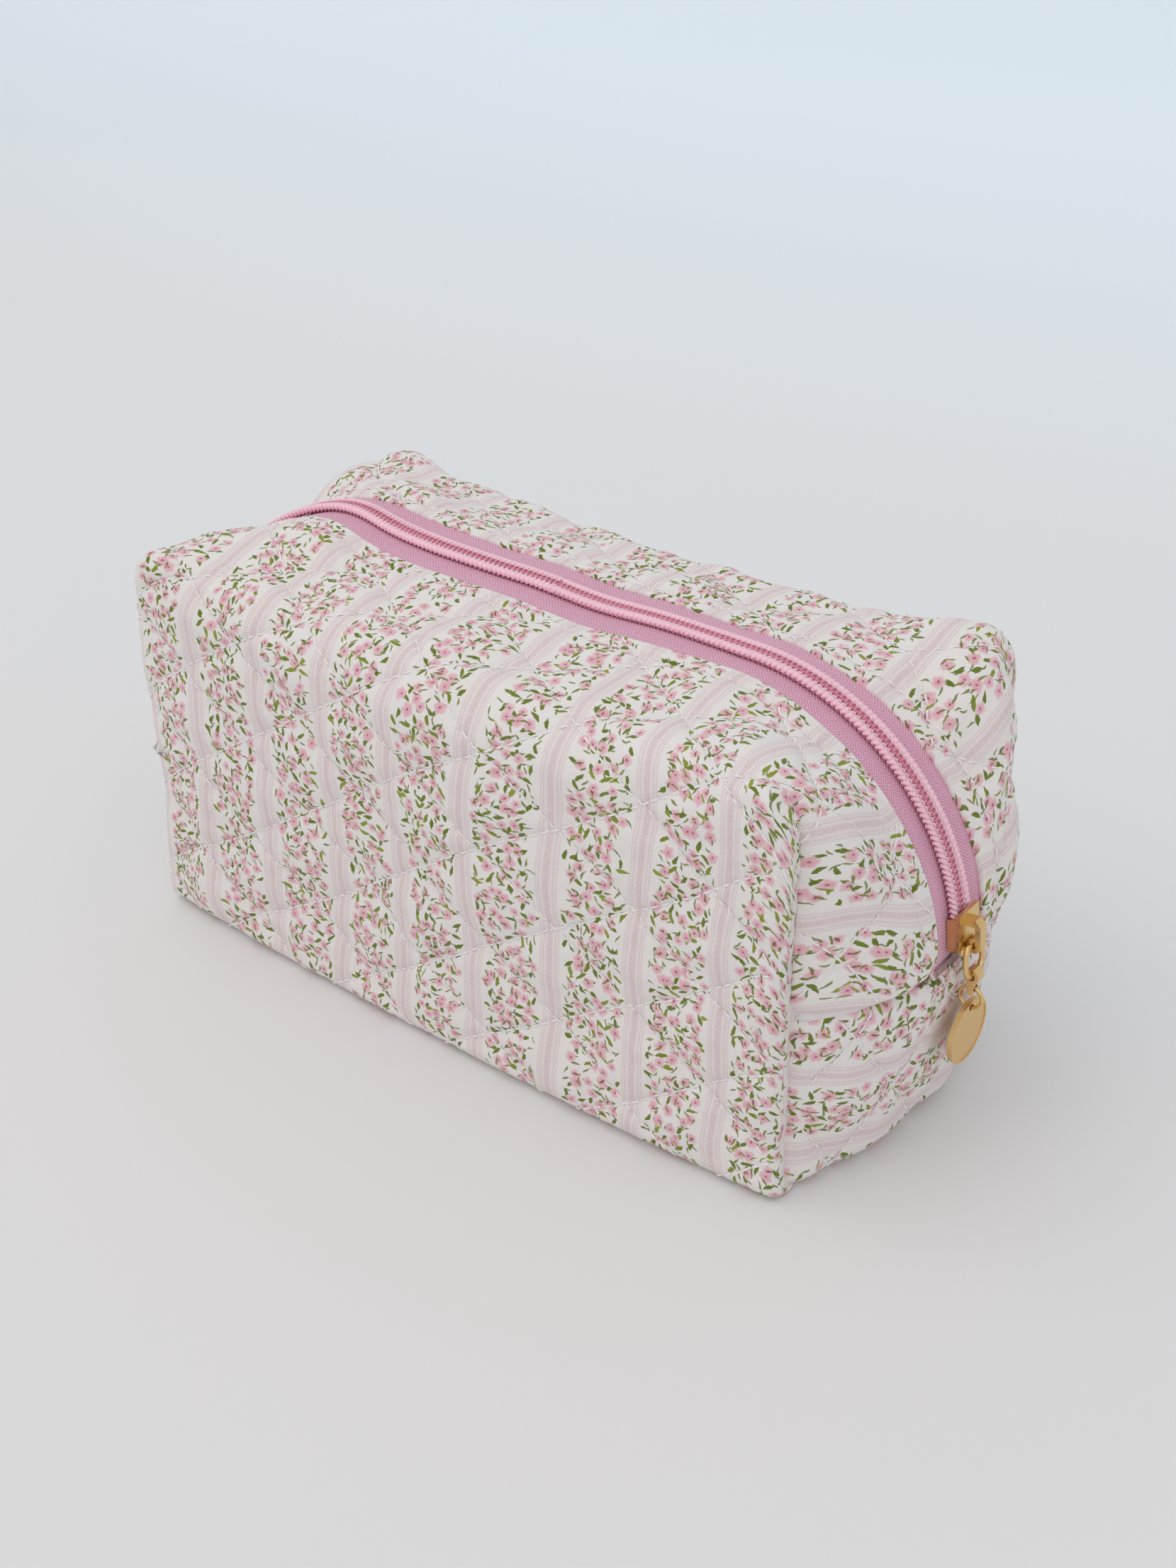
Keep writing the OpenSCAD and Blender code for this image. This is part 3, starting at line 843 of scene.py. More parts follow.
@dataclass(frozen=True)
class Quilting:
    """Diamond quilting on the flat pattern: two families of parallel lines of running stitch."""

    wide: float = 38.0
    tall: float = 26.0
    cross_s: float = 0.0
    cross_t: float = 48.0
    puff: float = 1.8
    stitch: float = 3.0

    def lines(self, uv: np.ndarray) -> tuple:
        """The two line numbers at each place; a whole number is on a line.

        Args:
            uv: flat-pattern places.

        Returns:
            The line numbers of both families.
        """
        s = (uv[..., 0] - self.cross_s) / self.wide
        t = (uv[..., 1] - self.cross_t) / self.tall
        return s + t, s - t

    @property
    def spacing(self) -> float:
        """Distance between two neighbouring parallel lines."""
        return self.wide * self.tall / math.hypot(self.wide, self.tall)

    def relief(self, uv: np.ndarray) -> np.ndarray:
        """Height of the cloth above its middle surface, in millimetres.

        Each family of lines pulls the cloth down by an exponential of the distance, and the two
        are multiplied, so a diamond swells. Short puckers cross each line, and fade with the
        distance too. A fine crease follows the line itself.

        Args:
            uv: flat-pattern places.

        Returns:
            The height at each place.
        """
        first, second = self.lines(uv)
        near_a = np.abs(first - np.round(first)) * self.spacing
        near_b = np.abs(second - np.round(second)) * self.spacing
        swell = (1 - np.exp(-near_a / 3.6)) * (1 - np.exp(-near_b / 3.6))
        slope = math.hypot(self.wide, self.tall)
        run_a = (uv[..., 0] * self.wide - uv[..., 1] * self.tall) / slope
        run_b = (uv[..., 0] * self.wide + uv[..., 1] * self.tall) / slope
        drift = 2.2 * ripple(uv, 17.0, 21)
        pucker_a = np.sin(2 * math.pi * run_a / 3.9 + drift) * np.exp(-near_a / 2.3)
        pucker_b = np.sin(2 * math.pi * run_b / 4.3 - drift) * np.exp(-near_b / 2.3)
        crease = np.exp(-near_a / 0.55) + np.exp(-near_b / 0.55)
        drag = ripple(uv, 13.0, 22) * 0.30 + ripple(uv, 6.0, 23) * 0.10
        patch = 0.85 + 0.25 * ripple(uv, 45.0, 24)
        return self.puff * patch * swell + 0.13 * (pucker_a + pucker_b) - 0.32 * crease + drag - 0.6

    def places(self, low: np.ndarray, high: np.ndarray) -> tuple:
        """The stitches whose middles lie in a box of the flat pattern.

        Args:
            low: the box's lowest s and t.
            high: the box's highest s and t.

        Returns:
            The stitches' middles and their directions, two numbers each.
        """
        slope = math.hypot(self.wide, self.tall)
        centre = np.array([self.cross_s, self.cross_t])
        reach = float(np.abs(np.stack([low, high]) - centre).max()) * 1.5
        numbers = np.arange(-int(reach / self.spacing) - 1, int(reach / self.spacing) + 2)
        steps = np.arange(-reach, reach, self.stitch)
        found, ways = [], []
        for sign in (1, -1):
            way = np.array([self.wide, -sign * self.tall]) / slope
            across = np.array([sign * self.tall, self.wide]) / slope * sign
            grid = centre + numbers[:, None, None] * self.spacing * across + steps[None, :, None] * way
            flat = grid.reshape(-1, 2)
            inside = np.all((flat > low) & (flat < high), axis=1)
            found.append(flat[inside])
            ways.append(np.repeat(way[None], inside.sum(), axis=0))
        return np.concatenate(found), np.concatenate(ways)


# ---------------------------------------------------------------- cloth panels


@dataclass
class Panel:
    """One quilted panel: its settled surface on a grid, with the flat pattern's place of each point."""

    name: str
    points: np.ndarray
    uv: np.ndarray
    outward: np.ndarray

    def __post_init__(self) -> None:
        """Turns the grid's normals to the outside."""
        normals = grid_normals(self.points)
        turned = np.sum(normals * self.outward) < 0
        self.flip = bool(turned)
        self.normals = -normals if turned else normals

    def raise_by(self, height: np.ndarray) -> None:
        """Moves the surface along its normals by a height at each point.

        Args:
            height: the height at each point, in millimetres.
        """
        self.points = self.points + self.normals * height[..., None]
        self.points[..., 2] = np.maximum(self.points[..., 2], 0.12)
        normals = grid_normals(self.points)
        self.normals = -normals if self.flip else normals

    def build(self, name: str = "", inside: bool = False) -> bpy.types.Object:
        """Makes the panel's mesh, facing out, or in for a lining.

        Args:
            name: the object's name, or an empty text for the panel's own.
            inside: whether it faces into the pouch.

        Returns:
            The new object.
        """
        rows, columns = self.points.shape[:2]
        faces = grid_faces(rows, columns)
        if self.flip != inside:
            faces = faces[:, ::-1]
        vertices = self.points.reshape(-1, 3)
        return build_mesh(name or self.name, vertices, [faces], self.uv.reshape(-1, 2))

    def locate(self, targets: np.ndarray) -> tuple:
        """Grid places of flat-pattern places, by eight rounds of correcting a linear guess.

        Args:
            targets: flat-pattern places in millimetres.

        Returns:
            Rows and columns as fractions, and True where the place is on the panel.
        """
        rows, columns = self.uv.shape[:2]
        by_row = (self.uv[-1] - self.uv[0]).mean(axis=0) / (rows - 1)
        by_column = (self.uv[:, -1] - self.uv[:, 0]).mean(axis=0) / (columns - 1)
        back = np.linalg.inv(np.stack([by_row, by_column], axis=1))
        places = np.tile([[rows / 2, columns / 2]], (len(targets), 1))
        for _ in range(8):
            places = places + (targets - sample(self.uv, places)) @ back.T
            places = np.clip(places, 0, [rows - 1, columns - 1])
        error = np.linalg.norm(targets - sample(self.uv, places), axis=1)
        return places, error < 0.4

    def stitches(
        self, name: str, quilting: Quilting, margin: float, widest: float = 200.0
    ) -> bpy.types.Object:
        """Running stitches along the quilting lines: short arcs of thread with sunk ends.

        Args:
            name: the piece's name.
            quilting: the lines and the stitch length.
            margin: how far to stay from the panel's borders, in millimetres.
            widest: the largest s, either way, that a stitch may have.

        Returns:
            One object that holds every stitch of the panel.
        """
        flat = self.uv.reshape(-1, 2)
        middles, ways = quilting.places(flat.min(0) + margin, flat.max(0) - margin)
        near = np.abs(middles[:, 0]) < widest
        middles, ways = middles[near], ways[near]
        rng = np.random.default_rng(len(name))
        middles = middles + rng.normal(0, 0.10, middles.shape)
        return self.sewn(name, middles, ways, quilting.stitch * 0.80, 0.23)

    def sewn(
        self, name: str, middles: np.ndarray, ways: np.ndarray, length: float, radius: float
    ) -> bpy.types.Object:
        """Thread arcs at flat-pattern places.

        Args:
            name: the piece's name.
            middles: the arcs' middles on the flat pattern.
            ways: their directions there.
            length: their length in millimetres.
            radius: the thread's radius.

        Returns:
            The new object.
        """
        part = np.array([-1.0, -0.7, 0.0, 0.7, 1.0])
        points = len(part)
        spots = middles[:, None, :] + ways[:, None, :] * part[None, :, None] * length / 2
        places, good = self.locate(spots.reshape(-1, 2))
        good = good.reshape(-1, points).all(axis=1)
        on = sample(self.points, places).reshape(-1, points, 3)[good]
        up = unit(sample(self.normals, places)).reshape(-1, points, 3)[good]
        arc = 0.24 - 0.50 * np.abs(part) ** 3
        paths = on + up * arc[None, :, None]
        thick = radius * np.array([0.55, 0.92, 1.0, 0.92, 0.55])
        return tubes(name, paths, np.stack([thick * 1.15, thick * 0.9], axis=1), up[:, 2], 6)


def mirrored(points: np.ndarray, end: int, side: int) -> np.ndarray:
    """Points with X and Y turned over by a sign each."""
    return points * np.array([end, side, 1.0])


@dataclass
class Pouch:
    """The cloth of the pouch: quilted panels, their stitches, the lining and the bound seams."""

    shape: PouchShape
    quilting: Quilting
    cloth: bpy.types.Material
    lining: bpy.types.Material
    binding: bpy.types.Material
    thread: bpy.types.Material
    lining_depth: float = 3.4
    fold_depth: float = 1.9
    fold_t: float = 106.8
    lap_roll: float = 0.75
    lap_sink: float = 0.9

    def dress(
        self, piece: bpy.types.Object, material: bpy.types.Material, slot: str, nodes: list
    ) -> bpy.types.Object:
        """Gives a piece its material, and hides the frame's nodes that it stands for.

        Args:
            piece: the piece.
            material: its material.
            slot: not used.
            nodes: the frame's nodes that it stands for.

        Returns:
            The same piece.
        """
        piece.data.materials.append(material)
        if nodes:
            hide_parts(*nodes)
        LOG.info("%s: %d faces", piece.name, len(piece.data.polygons))
        return piece

    def wall(self, side: Side, depth: object, roll: float, rows: int, columns: int) -> Panel:
        """A long wall with its foot and rim.

        Args:
            side: front or back.
            depth: how far inside the surface; a number, or one for each column.
            roll: radius of the rolled side edges.
            rows: grid points along the wall.
            columns: grid points up the wall.

        Returns:
            The settled panel, without relief.
        """
        reach = 1.07 if roll > 1 else 1.0
        along, rise = np.meshgrid(np.linspace(-reach, reach, rows), np.linspace(0, 1, columns), indexing="ij")
        base = mirrored(self.shape.wall_point(along, rise, depth, roll), 1, side.value)
        run = run_length(base, axis=1)
        t = -5 + run / run[:, -1:] * (self.fold_t + 5)
        if side is Side.BACK:
            t = -92 - t
        s = along * (96.8 - 3.1 * smooth((rise - 0.5) / 0.5))
        outward = np.array([0.0, side.value, 0.6])
        return Panel(f"{side.word}_wall", self.shape.settle(base), np.stack([s, t], axis=-1), outward)

    def quilted_wall(self, side: Side) -> Panel:
        """A long wall with its quilting relief, which fades towards the corner seams and the floor.

        Args:
            side: front or back.

        Returns:
            The wall's panel.
        """
        panel = self.wall(side, 0.0, 3.2, 380, 210)
        rows, columns = panel.uv.shape[:2]
        along = np.minimum(np.abs(np.linspace(-1.07, 1.07, rows))[:, None], 1)
        rise = np.linspace(0, 1, columns)[None, :]
        edge = smooth((1 - along) * 95 / 9) * smooth((rise - 0.02) / 0.08)
        roll_gather = 0.14 * np.sin(panel.uv[..., 1] * 2 * math.pi / 7.1 + 2.5 * ripple(panel.uv, 18, 31))
        gather = roll_gather * np.exp(-((1 - along) * 95) / 4.0)
        panel.raise_by(self.quilting.relief(panel.uv) * edge + gather * smooth((rise - 0.02) / 0.08))
        last, last_uv = panel.points[:, -1], panel.uv[:, -1]
        reach, slope = (1.0, 1.0) if side is Side.FRONT else (1.9, -1.0)
        steps = ((0.5, 0.4), (1.8, 1.2), (3.6, 2.1))
        shelf = [last + np.array([0, -side.value * a * reach, -b * reach**0.5]) for a, b in steps]
        shelf_uv = [last_uv + np.array([0, slope * a * reach * 1.1]) for a, _ in steps]
        panel.points = np.concatenate([panel.points, np.stack(shelf, axis=1)], axis=1)
        panel.uv = np.concatenate([panel.uv, np.stack(shelf_uv, axis=1)], axis=1)
        normals = grid_normals(panel.points)
        panel.normals = -normals if panel.flip else normals
        return panel

    def top_grid(self, rows: int, share: np.ndarray, depth: np.ndarray, shift: np.ndarray) -> tuple:
        """The right back quarter of the top on a grid.

        Args:
            rows: grid points from the middle to the end seam.
            share: the columns' places across, 0 at the zip.
            depth: the columns' depths inside the surface.
            shift: the columns' extra distance along Y.

        Returns:
            The points, and the rows' places along, as arrays.
        """
        run = np.repeat(np.linspace(0, 1, rows)[:, None], share.shape[-1], axis=1)
        across = np.broadcast_to(share, run.shape)
        base = self.shape.top_point(run, across, np.broadcast_to(depth, run.shape))
        base[..., 1] += np.broadcast_to(shift, run.shape)
        return base, run

    def top(self, end: End, side: Side) -> Panel:
        """Half of a top flap and the upper end quarter that it runs into, with the rolled edge at the zip.

        Args:
            end: left or right.
            side: front or back.

        Returns:
            The quarter's panel.
        """
        turn = np.radians([175, 150, 120, 90, 60, 30])
        flat = np.linspace(0, 1, 84)
        share = np.concatenate([np.zeros(7), flat, np.ones(4)])
        edge = self.lap_roll * (1 - np.cos(turn))
        sink = self.lap_sink * (1 - smooth(flat * 27 / 9))
        depth = np.concatenate([[2 * self.lap_roll + self.lap_sink], edge + self.lap_sink, sink, np.zeros(4)])
        shift = np.concatenate([[1.6], -self.lap_roll * np.sin(turn), np.zeros(88)])
        run = np.linspace(0, 1, 320)[:, None]
        seamed = smooth((run - 0.64) / 0.06)
        down = np.concatenate([np.zeros(91), [1.0, 2.0, 3.1, 4.2]])[None, :] * seamed
        under = np.concatenate([np.zeros(91), [0.35, 0.8, 1.5, 2.5]])[None, :] * (1 - seamed)
        beyond = np.concatenate([np.zeros(91), [0.012, 0.05, 0.11, 0.18]])[None, :] * (1 - seamed)
        base, run = self.top_grid(320, share[None, :] + beyond, depth[None, :] + down + under, shift)
        length = run_length(base, axis=0)
        s = length * end.value
        across = np.concatenate([-np.linspace(2.4, 0.3, 7) / 27.3, flat, [1.012, 1.05, 1.11, 1.18]])
        t = self.fold_t + (1 - across) * 27.3
        t = np.broadcast_to(t if side is Side.FRONT else -92 - t, s.shape)
        placed = self.shape.settle(mirrored(base, end.value, side.value))
        outward = np.array([0.8 * end.value, 0.2 * side.value, 1.0])
        panel = Panel(f"top_{side.word}_{end.word}", placed, np.stack([s, t], axis=-1), outward)
        panel.normals[:, 91:] = panel.normals[:, 90:91]
        from_lap = np.maximum(share, 0)[None, :] * 29
        to_seam = (1 - run) * 142
        to_wall = (1 - share)[None, :] * 30
        fade = smooth(from_lap / 6) * smooth((to_seam + 2) / 9) * (1 - seamed * (1 - smooth(to_wall / 8)))
        dive = 3.0 * np.exp(-to_seam / 1.5) + 2.2 * seamed * np.exp(-to_wall / 1.7)
        tuck = 0.55 * np.exp(-((from_lap - 4.6) / 0.7) ** 2) - 0.25 * smooth(1 - np.abs(from_lap - 2.4) / 2.2)
        gather = 0.16 * np.sin(panel.uv[..., 0] * 2 * math.pi / 4.6 + 2 * ripple(panel.uv, 12, 33))
        edge_gather = gather * np.exp(-np.abs(from_lap - 4.6) / 2.2)
        on_cloth = (from_lap > 0) * 1.0
        panel.raise_by(self.quilting.relief(panel.uv) * fade - dive + (edge_gather - tuck) * on_cloth)
        return panel

    def lower_end(self, end: End) -> Panel:
        """The cloth of an end below its seam.

        Args:
            end: left or right.

        Returns:
            The end's panel.
        """
        wide, tall = np.meshgrid(np.linspace(-1.06, 1.06, 210), np.linspace(0, 1.05, 124), indexing="ij")
        across, rise = np.clip(wide, -1, 1), np.minimum(tall, 1)
        flange = (np.abs(wide) - np.abs(across)) * 55 + (tall - rise) * 60
        base = self.shape.lower_point(across, rise, flange)
        s = 90 + run_length(base, axis=1)
        t = -(base[..., 1] + 46)
        placed = self.shape.settle(mirrored(base, end.value, 1))
        outward = np.array([float(end.value), 0.0, 0.0])
        panel = Panel(f"lower_end_{end.word}", placed, np.stack([s * end.value, t], axis=-1), outward)
        to_top = (1 - rise) * 48
        to_side = (1 - np.abs(across)) * 41.5
        fade = smooth((to_top + 1) / 8) * smooth(to_side / 8) * smooth((rise - 0.03) / 0.1)
        under_zip = 1 - smooth((np.abs(across) * self.shape.edge_y - 12) / 4)
        dive = (3.0 - 1.6 * under_zip) * np.exp(-to_top / 1.5) + 3.2 * np.exp(-to_side / 1.8)
        panel.raise_by(self.quilting.relief(panel.uv) * fade - dive)
        return panel

    def base_panel(self) -> Panel:
        """The cloth under the pouch, level on the floor and out to the rolled feet.

        Returns:
            The base's panel.
        """
        u, v = np.meshgrid(np.linspace(-1, 1, 140), np.linspace(-1, 1, 70), indexing="ij")
        y = v * (41.5 + 2.6 * (1 - u**2))
        x = u * (90.5 + 8.0 * np.clip(1 - (y / 41.5) ** 2, 0, 1))
        points = np.stack([x, y, np.full_like(x, 0.35)], axis=-1)
        return Panel("base_cloth", points, np.stack([x, -(y + 46)], axis=-1), np.array([0.0, 0.0, -1.0]))

    def lining_wall(self, side: Side) -> bpy.types.Object:
        """The lining of a long wall, which meets the print cloth at the fold.

        Args:
            side: front or back.

        Returns:
            The new object.
        """
        rise = np.linspace(0, 1, 90)
        depth = self.lining_depth - (self.lining_depth - self.fold_depth) * smooth((rise - 0.88) / 0.12)
        panel = self.wall(side, depth[None, :], 0.2, 150, 90)
        panel.raise_by(0.25 * ripple(panel.uv, 9.0, 41))
        return panel.build(f"lining_{side.word}_wall", inside=True)

    def lining_top(self, end: End, side: Side) -> bpy.types.Object:
        """The lining under a flap half and its upper end quarter.

        Args:
            end: left or right.
            side: front or back.

        Returns:
            The new object.
        """
        share = np.concatenate([np.linspace(0.055, 1, 40), [1.06, 1.14]])
        run = np.repeat(np.linspace(0, 1, 150)[:, None], 42, axis=1)
        seamed = smooth((run - 0.64) / 0.06)
        fold = smooth((share[None, :] - 0.8) / 0.2) * (1 - smooth((run - 0.5) / 0.15))
        deep = self.lining_depth - (self.lining_depth - self.fold_depth) * fold
        deep = deep + 0.4 * smooth((run - 0.6) / 0.2)
        deep = deep + np.maximum(share - 1, 0)[None, :] * 14 * (1 - seamed)
        across = np.minimum(share, 1)[None, :] + np.maximum(share - 1, 0)[None, :] * (1 - seamed)
        base = self.shape.top_point(run, across, deep)
        s = run_length(base, axis=0) * end.value
        t = np.broadcast_to(self.fold_t + (1 - share) * 27.3, s.shape)
        placed = self.shape.settle(mirrored(base, end.value, side.value))
        outward = np.array([0.8 * end.value, 0.2 * side.value, 1.0])
        panel = Panel("lining", placed, np.stack([s, t], axis=-1), outward)
        return panel.build(f"lining_top_{side.word}_{end.word}", inside=True)

    def lining_low(self, end: End) -> bpy.types.Object:
        """The lining of a lower end.

        Args:
            end: left or right.

        Returns:
            The new object.
        """
        across, rise = np.meshgrid(np.linspace(-1, 1, 60), np.linspace(0, 1, 40), indexing="ij")
        base = self.shape.lower_point(across * 0.99, rise, self.lining_depth)
        base[..., 2] = np.maximum(base[..., 2], self.lining_depth)
        uv = np.stack([90 + run_length(base, axis=1), -(base[..., 1] + 46)], axis=-1)
        placed = self.shape.settle(mirrored(base, end.value, 1))
        panel = Panel("lining", placed, uv, np.array([float(end.value), 0.0, 0.0]))
        return panel.build(f"lining_lower_{end.word}", inside=True)

    def lining_base(self) -> bpy.types.Object:
        """The lining on the pouch's floor, with the quilting's soft waves.

        Returns:
            The new object.
        """
        panel = self.base_panel()
        panel.points[..., 2] = self.lining_depth + 0.35 * ripple(panel.uv, 16.0, 43)
        return panel.build("lining_base_cloth", inside=True)

    def bind(self, name: str, path: np.ndarray, up: np.ndarray, node: str) -> None:
        """A folded bias strip round a seam allowance: a flat oval carried along the seam.

        Args:
            name: the piece's name.
            path: the strip's middle line.
            up: the direction of its width.
            node: the frame's node that it stands for.
        """
        width = np.full(len(path), 3.8)
        width[[0, -1]] = 3.4
        wave = 0.25 * ripple(path, 18.0, 51)[:, None] * np.cross(up, unit(path[-1] - path[0]))
        size = np.stack([np.full(len(path), 0.62), width], axis=1)
        piece = tubes(name, (path + wave)[None], size, up[None], 14)
        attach(self.dress(piece, self.binding, "binding", [node]), "bag")

    def allowance(self, name: str, path: np.ndarray) -> None:
        """A folded seam allowance just inside a seam, as a soft roll that fills the crease behind it.

        Args:
            name: the piece's name.
            path: the roll's middle line.
        """
        size = np.full((len(path), 2), ROLL_RADIUS)
        size[[0, -1]] = ROLL_TIP
        piece = tubes(name, path[None], size, np.array([[0.3, 0.9, 0.3]]), 10)
        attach(self.dress(piece, self.binding, "binding", []), "bag")

    def build_bindings(self) -> None:
        """The six bound seam allowances inside the pouch, and the rolls that lie in the seams."""
        for end in End:
            across = np.linspace(-0.9, 0.9, 60)
            under_zip = 1 - smooth((np.abs(across) * self.shape.edge_y - 9) / 7)
            path = self.shape.lower_point(across, np.ones(60), 4.0 + 6.0 * under_zip)
            path = self.shape.settle(mirrored(path, end.value, 1))
            self.allowance(f"seam_allowance_end_{end.word}", path)
            for side in Side:
                run = np.linspace(0.64, 1, 90)
                ear = self.shape.top_point(run, np.ones(90), np.full(90, 4.3))
                ear[:, 1] -= 0.6
                low = np.tile(ear[-1], (30, 1))
                low[:, 2] = np.linspace(45, 6, 30)
                path = self.shape.settle(mirrored(np.concatenate([ear, low]), end.value, side.value))
                self.allowance(f"seam_allowance_{side.word}_{end.word}", path)
                z = np.linspace(6, 80, 60)
                path = np.stack([np.full(60, 86.4 * end.value), np.full(60, 40.0 * side.value), z], axis=1)
                path = self.shape.settle(path)
                path[:, 1] = side.value * np.minimum(np.abs(path[:, 1]), 40.2)
                name = f"binding_{side.word}_{end.word}"
                self.bind(f"seam_{name}", path, np.array([1.0, 0.0, 0.0]), name)
            across = np.linspace(-0.82, 0.82, 60)
            path = self.shape.lower_point(across, np.full(60, 0.9), self.lining_depth + 0.9)
            path[:, 2] = self.shape.seam_z - 4.0
            path = self.shape.settle(mirrored(path, end.value, 1))
            name = f"binding_end_{end.word}"
            self.bind(f"seam_{name}", path, np.array([0.0, 0.0, 1.0]), name)

    def blend_top(self, piece: bpy.types.Object, end: End, side: Side) -> None:
        """Bakes a piece's transform into its mesh."""
        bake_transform(piece)

    def build(self) -> None:
        """Builds and dresses every cloth piece."""
        for side in Side:
            panel = self.quilted_wall(side)
            nodes = [f"outer_{side.word}", f"wadding_{side.word}"]
            piece = self.dress(panel.build(), self.cloth, "print_cloth", nodes)
            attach(piece, "bag")
            seams = panel.stitches(f"quilt_thread_{side.word}_wall", self.quilting, 4.0, 94.0)
            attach(self.dress(seams, self.thread, "thread", []), "bag")
            inner = self.dress(self.lining_wall(side), self.lining, "lining", [f"lining_{side.word}"])
            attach(inner, "bag")
            for end in End:
                self.build_top(end, side)
        for end in End:
            panel = self.lower_end(end)
            piece = self.dress(panel.build(), self.cloth, "print_cloth", [f"outer_end_lower_{end.word}"])
            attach(piece, "bag")
            seams = panel.stitches(f"quilt_thread_lower_{end.word}", self.quilting, 4.0)
            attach(self.dress(seams, self.thread, "thread", []), "bag")
            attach(self.dress(self.lining_low(end), self.lining, "lining", []), "bag")
        base = self.dress(self.base_panel().build(), self.cloth, "print_cloth", ["outer_bottom"])
        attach(base, "bag")
        floor = self.dress(self.lining_base(), self.lining, "lining", ["lining_base", "wadding_base"])
        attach(floor, "bag")
        self.build_bindings()

    def build_top(self, end: End, side: Side) -> None:
        """One quarter of the top: the quilted cloth, its stitches and topstitch, and its lining.

        Args:
            end: left or right.
            side: front or back.
        """
        panel = self.top(end, side)
        first = end is End.RIGHT
        flap = [f"{side.word}_flap_outer", f"{side.word}_flap_wadding"] if first else []
        nodes = [f"outer_end_{side.word}_{end.word}"] + flap + (["wadding_end_quarters"] if first else [])
        piece = self.dress(panel.build(), self.cloth, "print_cloth", nodes)
        self.blend_top(piece, end, side)
        seams = panel.stitches(f"quilt_thread_top_{side.word}_{end.word}", self.quilting, 3.0)
        self.blend_top(self.dress(seams, self.thread, "thread", []), end, side)
        steps = np.arange(1.5, 132, 2.7) * end.value
        t = self.fold_t + 27.3 - 4.6
        t = t if side is Side.FRONT else -92 - t
        middles = np.stack([steps, np.full(len(steps), t)], axis=1)
        ways = np.tile([[1.0, 0.0]], (len(steps), 1))
        row = panel.sewn(f"topstitch_{side.word}_{end.word}", middles, ways, 2.1, 0.2)
        self.blend_top(self.dress(row, self.thread, "thread", []), end, side)
        inner_nodes = [f"{side.word}_flap_lining", "lining_end_quarters"] if first else []
        inner = self.dress(self.lining_top(end, side), self.lining, "lining", inner_nodes)
        self.blend_top(inner, end, side)


